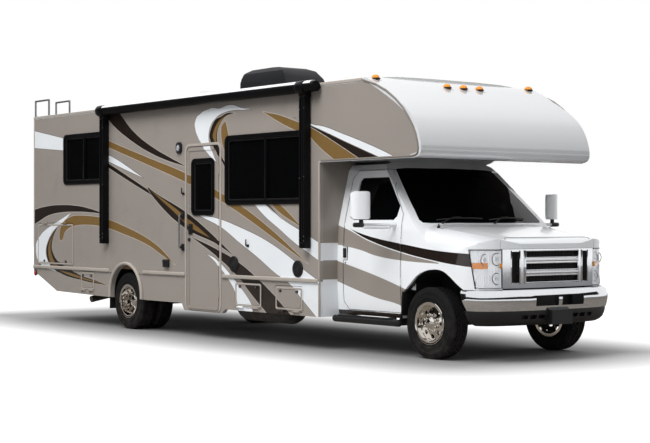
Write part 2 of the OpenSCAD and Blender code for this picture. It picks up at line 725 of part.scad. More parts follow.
// Rear bumper with a square receiver tube and its pin hole
receiver_out = 63.5;
receiver_in = 50.8;
receiver_pin_r = 8.3;
receiver_z = 600;
bumper_half = 1150;
bumper_top = 770;
bumper_bottom = 640;
receiver_pin_x = -house_rear - rear_bumper_d + 60;
module rear_bumper() color([0.08, 0.08, 0.085]) place() difference() {
    union() {
        across(-bumper_half, bumper_half) polygon([[-house_rear - rear_bumper_d, bumper_bottom + 20],
            [-house_rear - rear_bumper_d + 30, bumper_bottom], [-house_rear, bumper_bottom],
                [-house_rear, bumper_top],
            [-house_rear - rear_bumper_d + 30, bumper_top], [-house_rear - rear_bumper_d,
                bumper_top - 20]]);
        for (s = [-1, 1]) on_side(s)
            block([-house_rear - 40, frame_half - rail_w, rail_z], [-house_rear + wall_t, frame_half,
                rail_top]);
        block([-house_rear - rear_bumper_d, -receiver_out / 2, receiver_z - receiver_out / 2],
            [-house_rear + wall_t, receiver_out / 2, receiver_z + receiver_out / 2]);
        block([-house_rear - 40, -frame_half + 1, rail_z], [-house_rear + wall_t - 20, frame_half - 1,
            receiver_z + 20]);
    }
    block([-house_rear - rear_bumper_d - 1, -receiver_in / 2, receiver_z - receiver_in / 2],
        [-house_rear + wall_t + 1, receiver_in / 2, receiver_z + receiver_in / 2]);
    bar_y(receiver_pin_x, receiver_z, receiver_pin_r, -receiver_out, receiver_out);
}

// Cab body: plan, section and side outlines that bound one rounded volume
plan_start = 100;
plan_steps = [0, 0.45, 0.62, 0.74, 0.83, 0.9, 0.95, 0.98, 0.995];
function nose_point(t, half, x0, x1, p) = [x0 + t * (x1 - x0), half * pow(1 - pow(t, p), 1 / 3)];
function nose_plan(half, x0, x1, p, rear) = let (h = [for (t = plan_steps) nose_point(t, half, x0, x1, p)])
    concat([[-rear, -half]], [for (q = h) [q[0], -q[1]]], [for (i = [len(h) - 1:-1:0]) h[i]], [[-rear,
        half]]);
cab_plan = nose_plan(cab_half, plan_start, cab_nose, 5, house_front);
cab_section = both_sides([[cab_half - 25, sill_z], [cab_half - 3, sill_z + 250], [cab_half, sill_z + 550],
    [cab_half - 18, cowl_z], [cab_half - 165, overcab_z - 82], [cab_half - 215, overcab_z - 22],
    [cab_half - 290, overcab_z]]);
hood_front_z = grille_z1 + 122;
hood_front_x = cab_nose - 100;
hood_a = atan((cowl_z - hood_front_z) / (hood_front_x + cowl_x));
lower_side = [[-house_front, sill_z], [cab_nose - 130, sill_z], [cab_nose - 130, grille_z0 - 20],
    [cab_nose, grille_z0 - 10], [cab_nose, grille_z1], [cab_nose - 12, grille_z1 + 55], [cab_nose - 45,
        grille_z1 + 95],
    [hood_front_x, hood_front_z], [hood_front_x * 0.35 - cowl_x * 0.65,
        cowl_z * 0.65 + hood_front_z * 0.35 + 9],
    [-cowl_x, cowl_z], [-house_front, cowl_z]];
shoulder = both_sides([[cab_half + 60, -1400], [cab_half + 60, -400], [cab_half - 2, -215],
    [cab_half - 35, -125],
    [cab_half - 110, -62], [cab_half - 230, -24], [cab_half - 420, -4], [200, 10]]);
screen_sag = 96;
screen_half = cab_half - 105;
screen_steps = 8;
module screen_prism(d) translate([-cowl_x, 0, cowl_z]) rotate([0, screen_a - 90, 0]) translate([0, 0, -big])
    linear_extrude(2 * big) polygon(concat([[-big, -cab_half - 200]],
        [for (i = [-screen_steps:screen_steps]) let (y = (cab_half + 145) * i / screen_steps)
            [-d - screen_sag * pow(y / screen_half, 2), y]], [[-big, cab_half + 200]]));

module cab_volume(d) intersection() {
    along(-house_front, cab_nose + 1) polygon(inset(cab_section, d));
    upright(0, crown_z) polygon(inset(cab_plan, d));
    union() {
        intersection() {
            across(-cab_half, cab_half) polygon(inset(lower_side, d));
            translate([-cowl_x, 0, cowl_z]) rotate([0, hood_a, 0]) along(-house_front, cab_nose + 400)
                polygon(inset(shoulder, d));
        }
        intersection() {
            across(-cab_half, cab_half) translate([-house_front + d, sill_z + 500])
                square([house_front + 300, overcab_z - sill_z - 500 - d]);
            screen_prism(d);
        }
    }
}
module cab_skin(t) difference() {
    cab_volume(0);
    cab_volume(t);
}

// The skin of the cab's sides alone, with no floor or roof
side_section = concat([cab_section[0] - [0, 1000]], [for (i = [1:len(cab_section) - 2]) cab_section[i]],
    [cab_section[len(cab_section) - 1] - [0, 1000]]);
module side_skin(t) difference() {
    cab_volume(0);
    along(-house_front - 1, cab_nose + 1) polygon(inset(side_section, t));
}

// Outline of the windshield, as shares of its half width and of its length up the slope
screen_high = 985;
screen_table = [[0.167, 0.024], [0.333, 0.034], [0.667, 0.07], [0.889, 0.109], [0.976, 0.134], [0.997,
    0.188],
    [0.97, 0.3], [0.933, 0.481], [0.87, 0.741], [0.822, 0.929], [0.808, 0.985], [0.79, 0.996], [0.667,
        0.99],
    [0.333, 0.956], [0.167, 0.949]];
module screen_cut(n0, n1) translate([-cowl_x, 0, cowl_z]) rotate([0, screen_a - 90, 0])
    along(n0, n1) polygon(both_sides([for (p = screen_table) [p[0] * screen_half, p[1] * screen_high]]));
module windshield() color([0.05, 0.06, 0.07]) place() intersection() {
    difference() {
        screen_prism(0);
        screen_prism(glass_t + 2);
    }
    screen_cut(-200, 60);
}

// Cab doors: upright below the belt, then along the windshield pillar
door_low = 450;
door_top = 1985;
door_belt = 1500;
function pillar_x(z) = -door_front - max(z - door_belt, 0) / tan(screen_a + 12);
door_outline = concat(arc([-door_rear + 80, door_low + 80], 80, 180, 270, 3), [[-door_front, door_low],
    [-door_front, door_belt], [pillar_x(door_top - 40), door_top - 40], [pillar_x(door_top - 40) - 45,
        door_top]],
    arc([-door_rear + 90, door_top - 90], 90, 90, 180, 3));
pane_low = 1437;
pane_outline = concat([[-door_rear + 130, pane_low], [pillar_x(pane_low) - 150, pane_low],
    [pillar_x(pane_low + 40) - 100, pane_low + 40], [pillar_x(pane_low + 150) - 16, pane_low + 150],
    [pillar_x(door_top - 85) - 59, door_top - 85]],
    arc([-door_rear + 190, door_top - 145], 60, 90, 180, 3));
mirror_x = -571;
mirror_y = cab_half + 431;
mirror_z = 1590;
mirror_toe = 24;
mirror_arm_z = 1385;
door_handle_z = 1000;
cab_hinge_k = 0.6;
cab_hinge_z = [790, 1200];
module cab_hinges() for (z = cab_hinge_z)
    translate([-door_front, cab_half - 1, z]) rotate([0, -90, 0]) scale(cab_hinge_k) children();

module mirror_head() translate([mirror_x, mirror_y, mirror_z]) rotate([0, 0, mirror_toe]) intersection() {
    along(-40, 60) polygon(round_rect(-108, -146, 108, 146, 45));
    upright(-200, 200) polygon(concat([[-40, -100]], smooth([[-22, -108], [18, -100], [46, -70], [57,
        -30], [57, 30],
        [46, 70], [18, 100], [-22, 108]], 2), [[-40, 100]]));
}
module cab_door() {
    difference() {
        intersection() {
            side_skin(door_t);
            across(0, cab_half + 1) polygon(door_outline);
        }
        across(0, cab_half + 1) polygon(pane_outline);
    }
    mirror_head();
    rod([mirror_x + 30, cab_half - 60, mirror_arm_z], [mirror_x + 10, mirror_y, mirror_arm_z], 16);
    rod([mirror_x + 10, mirror_y, mirror_arm_z - 20], [mirror_x + 10, mirror_y, mirror_z - 120], 18);
    translate([-door_rear + 10, cab_half - 12, door_handle_z]) cube([62, 16, 138]);
    cab_hinges() {
        hinge_moving();
        block([-hinge_l / 2 + end_gap, -24, 1], [hinge_l / 2 - end_gap, 1, leaf_w]);
    }
}
pane_in = 18;
module door_pane() intersection() {
    along(-house_front, cab_nose) difference() {
        polygon(inset(side_section, pane_in));
        polygon(inset(side_section, pane_in + glass_t));
    }
    across(0, cab_half + 1) polygon(pane_outline);
}
module cab_door_left() color(white) place() cab_door();
module cab_door_right() color(white) place() on_side(-1) cab_door();
module door_glass_left() color([0.05, 0.06, 0.07]) place() door_pane();
module door_glass_right() color([0.05, 0.06, 0.07]) place() on_side(-1) door_pane();

// Hood: its side edges run from the windshield's base to the grille's top corners
hood_rear = 10;
hood_t = 28;
hood_rear_half = cab_half - 195;
hood_outline = [[hood_rear, -hood_rear_half], [cab_nose - 40, -grille_half - 25], [cab_nose + 10,
    -grille_half],
    [cab_nose + 10, grille_half], [cab_nose - 40, grille_half + 25], [hood_rear, hood_rear_half]];
hood_pin_x = hood_rear + 20;
hood_pin_z = cowl_z - 60;
hood_hinge_y = 500;
hood_ear = 15;
hood_barrel_l = 88;
cowl_low = cowl_z - 75;
cowl_front = -cowl_x + 30;
module hood() color(white) place() {
    intersection() {
        cab_skin(hood_t);
        upright(grille_z1 + 3, crown_z) polygon(hood_outline);
    }
    for (y = [-hood_hinge_y, hood_hinge_y]) difference() {
        union() {
            bar_y(hood_pin_x, hood_pin_z, 10, y - hood_barrel_l / 2 + 1, y + hood_barrel_l / 2 - 1);
            block([hood_pin_x - 8, y - hood_barrel_l / 2 + 1, hood_pin_z],
                [hood_pin_x + 10, y + hood_barrel_l / 2 - 1, cowl_z - 40]);
        }
        bar_y(hood_pin_x, hood_pin_z, hinge_r + pin_gap, y - hood_barrel_l, y + hood_barrel_l);
    }
}

// Fenders, with the wheel arch cut and the rear edge at the door
fender_t = 30;
lamp_out = cab_half + 10;
lamp_rear = cab_nose - 240;
lamp_slant = 58;
// The lamp's rear edge leans forward at its foot
module lamp_box() across(grille_half + 8, lamp_out) polygon([[lamp_rear, grille_z1],
    [lamp_rear + lamp_slant, grille_z0 + 3],
    [cab_nose + 10, grille_z0 + 3], [cab_nose + 10, grille_z1]]);
// Outline of the wheel arch, as shares of its reach and height from the axle
arch_table = [[-1, -1], [-1, 0.41], [-0.94, 0.54], [-0.66, 0.715], [-0.45, 0.853], [-0.3, 0.915], [-0.14,
    0.961],
    [0.045, 0.99], [0.235, 1], [0.38, 0.996], [0.51, 0.972], [0.635, 0.928], [0.765, 0.866], [0.925, 0.778],
    [1.06, 0.699], [1.2, 0.625], [1.2, -1]];
module fender() {
    difference() {
        intersection() {
            cab_skin(fender_t);
            block([-door_front + shut_gap, 0, sill_z + 30], [cab_nose + 1, cab_half + 1, crown_z]);
        }
        block([-house_front, 0, cowl_low], [cowl_front, cab_half + 1, crown_z]);
        block([cowl_front - 1, 0, cowl_low], [hood_rear, hood_rear_half + shut_gap, crown_z]);
        upright(grille_z1 - 3, crown_z) polygon(inset(hood_outline, -shut_gap));
        block([-house_front, 0, 0], [lamp_rear - 100, grille_half, grille_z1 + 50]);
        block([lamp_rear - 101, 0, 0], [cab_nose + 2, grille_half + 8, grille_z1]);
        lamp_box();
        across(0, cab_half + 1) polygon([for (p = arch_table) [p[0] * arch_r, axle_z + p[1] * arch_h]]);
        block([-house_front, 0, 0], [0, cab_half + 1, axle_z + arch_h / 3]);
        block([0, 0, 0], [cab_nose + 1, cab_half + 1, bumper_z1 + 0.5]);
    }
    cab_hinges() {
        hinge_fixed();
        block([-hinge_l / 2 - ear_l, -24, -leaf_w], [hinge_l / 2 + ear_l, 1, -shut_gap / cab_hinge_k]);
    }
}
module fender_left() color(white) place() fender();
module fender_right() color(white) place() on_side(-1) fender();

module headlamps() color([0.85, 0.86, 0.88]) place() for (s = [-1, 1]) on_side(s) intersection() {
    cab_skin(60);
    lamp_box();
}

// Grille: one frame, three wide openings between two bars, and a narrow slot at each side
grille_t = 45;
slot_depth = 28;
bar_z = 62;
open_half = grille_half - 275;
grille_rim = 20;
grille_foot = 62;
side_slot = [grille_half - 196, grille_half - 100];
module grille() color([0.78, 0.78, 0.8]) place() {
    h = (grille_z1 - grille_z0 - grille_foot - grille_rim - 2 * bar_z) / 3;
    difference() {
        intersection() {
            cab_skin(grille_t);
            block([cab_nose - 250, -grille_half - 8, grille_z0 + 3], [cab_nose + 1, grille_half + 8,
                grille_z1]);
        }
        for (i = [0:2]) translate([cab_nose - slot_depth, -open_half,
            grille_z0 + grille_foot + i * (h + bar_z)])
            cube([slot_depth + 10, 2 * open_half, h]);
        for (s = [-1, 1]) on_side(s) block([cab_nose - slot_depth - 20, side_slot[0],
            grille_z0 + grille_foot - 6],
            [cab_nose + 10, side_slot[1], grille_z1 - grille_rim - 4]);
    }
}

// Bumper and the black valance under it, both bent round the nose
bumper_t = 60;
bumper_start = 300;
bumper_end = 445;
bumper_open = grille_half - 308;
bumper_post = 26;
bumper_plan = nose_plan(cab_half, bumper_start, bumper_x, 4, 0);
bumper_slant = 100;
// Sections of the bumper and the valance: how far they lie inside the plan, and share of their height
bumper_section = [[20, 0], [9, 0.18], [2, 0.36], [0, 0.5], [2, 0.62], [8, 0.76], [18, 0.88], [34, 0.97]];
dam_section = [[96, 0], [58, 0.12], [26, 0.32], [8, 0.6], [0, 0.82], [0, 1]];

// A section led round a plan: its outer line from the bottom up, and an upright back t inside the plan.
// The ends are cut off by a slope from x0 at the top to x0 + slant at the bottom.
module bent(plan, section, t, z0, z1, x0, slant) difference() {
    line = concat([[t, 0]], section, [[t, 1]]);
    rows = [for (q = line) [for (p = inset(plan, q[0])) [p[0], p[1], z0 + q[1] * (z1 - z0)]]];
    n = len(plan);
    m = len(rows);
    polyhedron([for (r = rows) each r], concat([for (j = [0:m - 1], i = [0:n - 2], k = [0,
        1]) let (a = j * n + i,
        b = ((j + 1) % m) * n + i) k > 0 ? [a, b, a + 1] : [a + 1, b, b + 1]],
            [[for (j = [m - 1:-1:0]) j * n],
        [for (j = [0:m - 1]) j * n + n - 1]]));
    across(-big, big) polygon([[-big, z0 - 1], [x0 + slant, z0 - 1], [x0, z1 + 1], [-big, z1 + 1]]);
}
module front_bumper() color([0.78, 0.78, 0.8]) place() {
    difference() {
        bent(bumper_plan, bumper_section, bumper_t, bumper_z0, bumper_z1, bumper_end, bumper_slant);
        for (s = [-1, 1]) on_side(s) block([bumper_end, bumper_post, bumper_z0 + 44], [bumper_x + 1,
            bumper_open, bumper_z1 - 62]);
    }
    for (s = [-1, 1]) on_side(s)
        block([frame_front, frame_half - rail_w, bumper_z0 + 20], [bumper_x - bumper_t + 10, frame_half,
            bumper_z1 - 40]);
}

dam_z = 368;
dam_t = 130;
dam_slant = 50;
dam_plan = nose_plan(cab_half - 25, bumper_start, bumper_x - 25, 4, 0);
plate_half = 152;
plate_z0 = 372;
plate_hole_r = 3.5;
plate_pitch_y = 177.8;
plate_pitch_z = 120.65;
plate_mid_z = (plate_z0 + bumper_z0) / 2;
module air_dam() color([0.08, 0.08, 0.085]) place() difference() {
    union() {
        bent(dam_plan, dam_section, dam_t, dam_z, bumper_z0, bumper_end + 60, dam_slant);
        block([bumper_x - 60, -plate_half, plate_z0], [bumper_x + plate_reach, plate_half, bumper_z0]);
    }
    for (y = [-1, 1], z = [-1, 1]) translate([bumper_x, y * plate_pitch_y / 2,
        plate_mid_z + z * plate_pitch_z / 2])
        rotate([0, 90, 0]) cylinder(r = plate_hole_r, h = 60, center = true);
    for (s = [-1, 1], k = [0:2]) on_side(s)
        block([bumper_x - 90, 200 + k * 115, dam_z + 68], [bumper_x, 290 + k * 115, dam_z + 108]);
}

board_y = cab_half + 70;
board_r = 38;
board_z = 355;
board_rear = 1450;
board_front = 375;
module running_boards() color([0.07, 0.07, 0.075]) place() for (s = [-1, 1]) on_side(s) {
    translate([-board_rear, board_y, board_z]) rotate([0, 90, 0]) cylinder(r = board_r,
        h = board_rear - board_front);
    for (x = [-board_rear + 150, -board_front - 250])
        block([x, cab_half - 62, board_z], [x + 60, board_y, sill_z]);
}

// Cab shell: roof, pillars, cowl, sills, floor and firewall
firewall_x = 300;
floor_half = cab_half - door_t - 20;
module cab_shell() color(white) place() {
    difference() {
        union() {
            cab_skin(shell_t);
            intersection() {
                cab_volume(shell_t - 1);
                union() {
                    block([-house_front, -floor_half, cab_floor_z - shell_t], [-firewall_x + 30,
                        floor_half, cab_floor_z]);
                    block([-house_front, -cab_half, cab_floor_z - shell_t], [-door_rear - 20, cab_half,
                        cab_floor_z]);
                    block([-firewall_x, -floor_half, cab_floor_z - 1], [-firewall_x + 30, floor_half,
                        cowl_z]);
                }
            }
        }
        for (s = [-1, 1]) on_side(s) difference() {
            across(0, cab_half + 50) polygon(inset(door_outline, -shut_gap));
            along(-house_front - 1, cab_nose) polygon(inset(side_section, door_t + shut_gap));
        }
        block([-door_front + shut_gap, -cab_half - 1, 0], [cab_nose + 2, cab_half + 1,
            cab_floor_z - shell_t]);
        block([-firewall_x + 30, -cab_half - 1, 0], [cab_nose + 2, cab_half + 1, cowl_low]);
        for (s = [-1, 1]) on_side(s)
            block([-door_front + shut_gap, floor_half, 0], [cab_nose + 2, cab_half + 1, cowl_low]);
        block([cowl_front, -cab_half - 1, 0], [cab_nose + 2, cab_half + 1, cowl_z + 1]);
        block([-house_front + shell_t + 1, -floor_half, 0], [cab_nose, floor_half, cab_floor_z - shell_t]);
        block([-house_front - 1, -floor_half, 0], [-house_front + shell_t + 2, floor_half, rail_top + 8]);
        block([-house_front - 1, -pass_half, floor_z], [-house_front + shell_t + 2, pass_half, pass_top]);
        screen_cut(-130, 60);
    }
    for (y = [-hood_hinge_y, hood_hinge_y]) {
        bar_y(hood_pin_x, hood_pin_z, hinge_r, y - hood_barrel_l / 2 - hood_ear,
            y + hood_barrel_l / 2 + hood_ear);
        for (k = [-hood_barrel_l / 2 - hood_ear, hood_barrel_l / 2]) {
            bar_y(hood_pin_x, hood_pin_z, 9, y + k, y + k + hood_ear);
            block([hood_pin_x - 9, y + k, hood_pin_z - 34], [hood_pin_x + 9, y + k + hood_ear, hood_pin_z]);
            block([cowl_front - 40, y + k, hood_pin_z - 34], [hood_pin_x, y + k + hood_ear,
                hood_pin_z - 20]);
            block([cowl_front - 40, y + k, hood_pin_z - 34], [cowl_front - 6, y + k + hood_ear,
                cowl_z - shell_t + 8]);
        }
    }
}

// Seats, dashboard and steering wheel
seat_y = cab_half - 575;
seat_half = 255;
seat_x = -1310;
seat_base = 190;
// Side outlines of the seat and its headrest, from the foot of the back
seat_outline = [[0, 0], [520, 0], [540, 60], [520, 140], [140, 110], [10, 670], [-20, 710], [-70, 715],
    [-100, 680], [-10, 170]];
rest_outline = [[-5, 700], [-80, 705], [-100, 860], [-80, 890], [-30, 888], [-8, 855]];
module cab_seats() color([0.35, 0.32, 0.29]) place() for (s = [-1, 1]) on_side(s)
    translate([seat_x, seat_y, cab_floor_z]) {
        translate([40, -200, 0]) cube([420, 400, seat_base + 1]);
        translate([0, 0, seat_base]) across(-seat_half, seat_half) polygon(seat_outline);
        translate([0, 0, seat_base]) across(-seat_half / 2, seat_half / 2) polygon(rest_outline);
    }

dash_half = cab_half - door_t - 60;
dash_rear = -620;
module dashboard() color([0.2, 0.2, 0.21]) place() across(-dash_half, dash_half) translate([0,
    cowl_z]) polygon([
    [-firewall_x, -350], [-firewall_x, -25], [-firewall_x - 130, -5], [dash_rear + 90, -25],
        [dash_rear + 20, -80],
    [dash_rear, -130], [dash_rear, -270], [dash_rear + 60, -340], [dash_rear + 150, -350]]);

wheel_ring = 190;
wheel_tube = 16;
column_z = cowl_z - 140;
module steering_wheel() color([0.1, 0.1, 0.105]) place() translate([dash_rear, seat_y, column_z]) {
    rotate([0, -90, 0]) cylinder(r = 42, h = 60);
    translate([-58, 0, 0]) rotate([0, -65, 0]) {
        cylinder(r = 34, h = 110);
        translate([0, 0, 95]) {
            rotate_extrude() translate([wheel_ring, 0]) circle(r = wheel_tube);
            cylinder(r = 60, h = 30);
            for (a = [0, 120, 240]) rotate([0, 0, a + 180]) translate([20, -18,
                -5]) cube([wheel_ring - 26, 36, 10]);
        }
    }
}

// Exhaust muffler and tail pipe on the right
muffler_y = -640;
muffler_z = 430;
muffler_r = 105;
muffler_l = 620;
muffler_x = -wheelbase - 1316;
tail_r = 45;
tail_x = muffler_x + 130;
tail_out = 1120;
tail_z = 340;
module exhaust() color([0.35, 0.34, 0.33]) place() {
    translate([muffler_x, muffler_y, muffler_z]) rotate([0, 90, 0]) {
        cylinder(r = muffler_r, h = muffler_l);
        cylinder(r = tail_r, h = muffler_l + 295);
    }
    rod([tail_x, muffler_y, muffler_z], [tail_x, -tail_out, tail_z], tail_r);
    for (x = [member_stations[1] + 30, member_stations[2] + 20])
        block([x, muffler_y - 10, muffler_z], [x + 40, muffler_y + 10, rail_top]);
}

// Gas tank under the floor, hung from two cross members
tank_r = 185;
tank_y = -940;
tank_z = 415;
tank_x = [-3370, -2290];
module gas_tank() color([0.12, 0.12, 0.125]) place() {
    translate([tank_x[0], tank_y, tank_z]) rotate([0, 90, 0]) rotate_extrude() polygon([[0, 0],
        [tank_r * 0.6, 20],
        [tank_r * 0.9, 60], [tank_r, 110], [tank_r, tank_x[1] - tank_x[0] - 110],
        [tank_r * 0.9, tank_x[1] - tank_x[0] - 60], [tank_r * 0.6, tank_x[1] - tank_x[0] - 20], [0,
            tank_x[1] - tank_x[0]]]);
    for (x = [member_stations[5] + 20, member_stations[6] + 5])
        block([x, tank_y - 30, tank_z], [x + 50, tank_y + 30, rail_top]);
}

chassis_frame();
engine();
front_axle();
knuckle_left();
knuckle_right();
rear_axle();
tyre_front_left();
tyre_front_right();
tyres_rear_left();
tyres_rear_right();
wheel_front_left();
wheel_front_right();
wheels_rear_left();
wheels_rear_right();
house_floor();
house_wall_right();
house_wall_left();
house_wall_rear();
house_wall_front();
house_roof();
overcab_cap();
windows_right();
windows_left();
entry_door();
entry_door_window();
entry_steps();
hatch_right_rear();
hatch_right_mid();
hatch_right_front();
hatch_right_step();
hatch_left_rear();
hatch_left_front();
awning();
roof_air_conditioner();
roof_vents();
ladder();
rear_bumper();
cab_shell();
hood();
fender_left();
fender_right();
windshield();
cab_door_left();
cab_door_right();
door_glass_left();
door_glass_right();
grille();
headlamps();
front_bumper();
air_dam();
running_boards();
cab_seats();
dashboard();
steering_wheel();
exhaust();
gas_tank();
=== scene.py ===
"""Looks of a motorhome: finishes, road gear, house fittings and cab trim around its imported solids.

Places are written in millimetres: x ahead of the front axle, y to the left and z above the ground.
"""

from __future__ import annotations

import json
import logging
import math
from dataclasses import dataclass
from enum import Enum
from typing import Sequence

import bmesh
import bpy
from mathutils import Matrix, Vector

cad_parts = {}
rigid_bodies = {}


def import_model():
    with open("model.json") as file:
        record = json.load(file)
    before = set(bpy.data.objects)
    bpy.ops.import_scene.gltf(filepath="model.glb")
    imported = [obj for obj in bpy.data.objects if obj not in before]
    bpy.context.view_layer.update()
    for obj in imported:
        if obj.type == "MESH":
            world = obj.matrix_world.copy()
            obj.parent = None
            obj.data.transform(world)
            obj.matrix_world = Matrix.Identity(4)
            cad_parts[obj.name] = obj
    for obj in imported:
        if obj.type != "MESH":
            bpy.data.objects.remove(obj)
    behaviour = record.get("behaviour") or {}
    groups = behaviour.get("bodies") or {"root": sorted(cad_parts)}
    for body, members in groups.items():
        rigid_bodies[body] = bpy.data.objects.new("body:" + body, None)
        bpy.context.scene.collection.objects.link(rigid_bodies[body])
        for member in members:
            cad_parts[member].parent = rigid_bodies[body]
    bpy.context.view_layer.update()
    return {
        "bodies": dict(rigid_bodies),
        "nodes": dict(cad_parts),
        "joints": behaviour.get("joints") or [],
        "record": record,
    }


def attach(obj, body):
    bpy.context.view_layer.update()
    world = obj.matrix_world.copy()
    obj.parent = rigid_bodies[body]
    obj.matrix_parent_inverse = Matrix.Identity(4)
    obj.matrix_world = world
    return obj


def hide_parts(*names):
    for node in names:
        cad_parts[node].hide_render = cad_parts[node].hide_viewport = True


LOG = logging.getLogger("motorhome")
MM = 1000
TURN = 6.283
AXLE_X = 3762.5
AXLE_Z = 372.0
FRONT_Y = 881.0
REAR_X = -5664.0
REAR_Y = 1118.0
WALL_Y = 1257.5

Point = tuple[float, float, float]
Flat = tuple[float, float]
Oblong = tuple[float, float, float, float]
Sockets = Sequence[tuple[str, str]]


class Side(Enum):
    """The two sides of the vehicle, by the sign of y."""

    LEFT = 1
    RIGHT = -1


class Run(Enum):
    """The way a painted band runs on a side wall."""

    LENGTH = "X"
    HEIGHT = "Z"
    TURN = "round"


def at(x: float, y: float, z: float) -> Vector:
    """Gives a place in metres in the shared frame.

    Args:
        x: Millimetres ahead of the front axle.
        y: Millimetres to the left of the middle.
        z: Millimetres above the ground.

    Returns:
        The same place in the shared frame.
    """
    return Vector(((x + AXLE_X) / MM, y / MM, z / MM))


def back(place: Vector) -> Point:
    """Gives a place of the shared frame in millimetres, as at() takes it."""
    return (place.x * MM - AXLE_X, place.y * MM, place.z * MM)


def paint(red: int, green: int, blue: int) -> tuple[float, float, float, float]:
    """Turns a screen colour into the linear one that shaders take.

    Args:
        red: Red from 0 to 255.
        green: Green from 0 to 255.
        blue: Blue from 0 to 255.

    Returns:
        Linear red, green, blue and an alpha of 1.
    """
    linear = [c / 255 / 12.92 if c <= 10 else ((c / 255 + 0.055) / 1.055) ** 2.4 for c in (red, green, blue)]
    return (linear[0], linear[1], linear[2], 1.0)


def to_mesh(part: bmesh.types.BMesh, name: str) -> bpy.types.Mesh:
    """Turns a mesh in the making into a finished one.

    Args:
        part: The mesh in the making, which is freed.
        name: Name of the finished mesh.

    Returns:
        The finished mesh.
    """
    mesh = bpy.data.meshes.new(name)
    part.to_mesh(mesh)
    part.free()
    return mesh


def link(name: str, data: bpy.types.ID) -> bpy.types.Object:
    """Adds an object to the scene.

    Args:
        name: Name of the object.
        data: Its mesh, lamp or camera.

    Returns:
        The new object.
    """
    item = bpy.data.objects.new(name, data)
    bpy.context.scene.collection.objects.link(item)
    return item


def flip_side(part: bmesh.types.BMesh) -> None:
    """Mirrors a mesh to the other side of the vehicle."""
    bmesh.ops.scale(part, vec=(1, -1, 1), verts=part.verts)
    bmesh.ops.reverse_faces(part, faces=part.faces)


def feed(tree: bpy.types.NodeTree, socket: bpy.types.NodeSocket, value: object) -> None:
    """Fills one input of a node.

    Args:
        tree: The node's tree.
        socket: The input.
        value: A socket to link to it, or a plain value.
    """
    if isinstance(value, bpy.types.NodeSocket):
        tree.links.new(value, socket)
    else:
        socket.default_value = value


class Nodes:
    """Short ways to add nodes to one shader tree."""

    def __init__(self, tree: bpy.types.NodeTree) -> None:
        """Keeps the tree that nodes go into."""
        self.tree = tree

    def add(self, kind: str, **inputs: object) -> bpy.types.Node:
        """Adds a node and fills its inputs.

        Args:
            kind: The node's type, without the leading ShaderNode.
            inputs: Values or sockets by input name, with _ for a space, or by in0, in1 for its place.

        Returns:
            The new node.
        """
        node = self.tree.nodes.new("ShaderNode" + kind)
        for name, value in inputs.items():
            by_place = name[:2] == "in" and name[2:].isdigit()
            feed(self.tree, node.inputs[int(name[2:]) if by_place else name.replace("_", " ")], value)
        return node

    def math(self, operation: str, *values: object, clamp: bool = False) -> bpy.types.NodeSocket:
        """Adds a Math node.

        Args:
            operation: The operation's name.
            values: Numbers or sockets.
            clamp: Whether the result is held between 0 and 1.

        Returns:
            The result's socket.
        """
        node = self.add("Math", **{f"in{i}": v for i, v in enumerate(values)})
        node.operation = operation
        node.use_clamp = clamp
        return node.outputs[0]

    def length(self, a: bpy.types.NodeSocket, b: bpy.types.NodeSocket) -> bpy.types.NodeSocket:
        """Adds the nodes for the length of the diagonal of two square distances, and gives its socket."""
        return self.math("SQRT", self.math("ADD", self.math("MULTIPLY", a, a), self.math("MULTIPLY", b, b)))

    def ramp(
        self, value: object, low: float, high: float, to_low: float = 0.0, to_high: float = 1.0
    ) -> bpy.types.NodeSocket:
        """Maps a value from one range to another, smoothly and held at the ends.

        Args:
            value: The socket to read.
            low: Value that gives to_low.
            high: Value that gives to_high.
            to_low: Result at low.
            to_high: Result at high.

        Returns:
            The result's socket.
        """
        node = self.add("MapRange", Value=value, From_Min=low, From_Max=high, To_Min=to_low, To_Max=to_high)
        node.interpolation_type = "SMOOTHSTEP"
        return node.outputs[0]

    def mix(self, factor: object, first: object, second: object) -> bpy.types.NodeSocket:
        """Mixes two colours.

        Args:
            factor: Share of the second colour.
            first: First colour or socket.
            second: Second colour or socket.

        Returns:
            The mixed colour's socket.
        """
        node = self.tree.nodes.new("ShaderNodeMix")
        node.data_type = "RGBA"
        for index, value in ((0, factor), (6, first), (7, second)):
            feed(self.tree, node.inputs[index], value)
        return node.outputs[2]

    def noise(self, vector: object, scale: float, detail: float = 3.0) -> bpy.types.NodeSocket:
        """Adds a noise texture and gives its value.

        Args:
            vector: Coordinates to read.
            scale: Size of the noise, larger is finer.
            detail: Layers of finer noise.

        Returns:
            The noise value's socket.
        """
        return self.add("TexNoise", Vector=vector, Scale=scale, Detail=detail).outputs["Fac"]


def new_group(
    name: str, inputs: Sockets, outputs: Sockets
) -> tuple[bpy.types.NodeTree, bpy.types.Node, bpy.types.Node]:
    """Starts a shader node group.

    Args:
        name: Name of the group.
        inputs: Name and socket type of each input, the type without NodeSocket.
        outputs: The same for each output.

    Returns:
        The tree, its input node and its output node.
    """
    tree = bpy.data.node_groups.new(name, "ShaderNodeTree")
    for way, sockets in (("INPUT", inputs), ("OUTPUT", outputs)):
        for label, kind in sockets:
            tree.interface.new_socket(name=label, in_out=way, socket_type="NodeSocket" + kind)
    return tree, tree.nodes.new("NodeGroupInput"), tree.nodes.new("NodeGroupOutput")


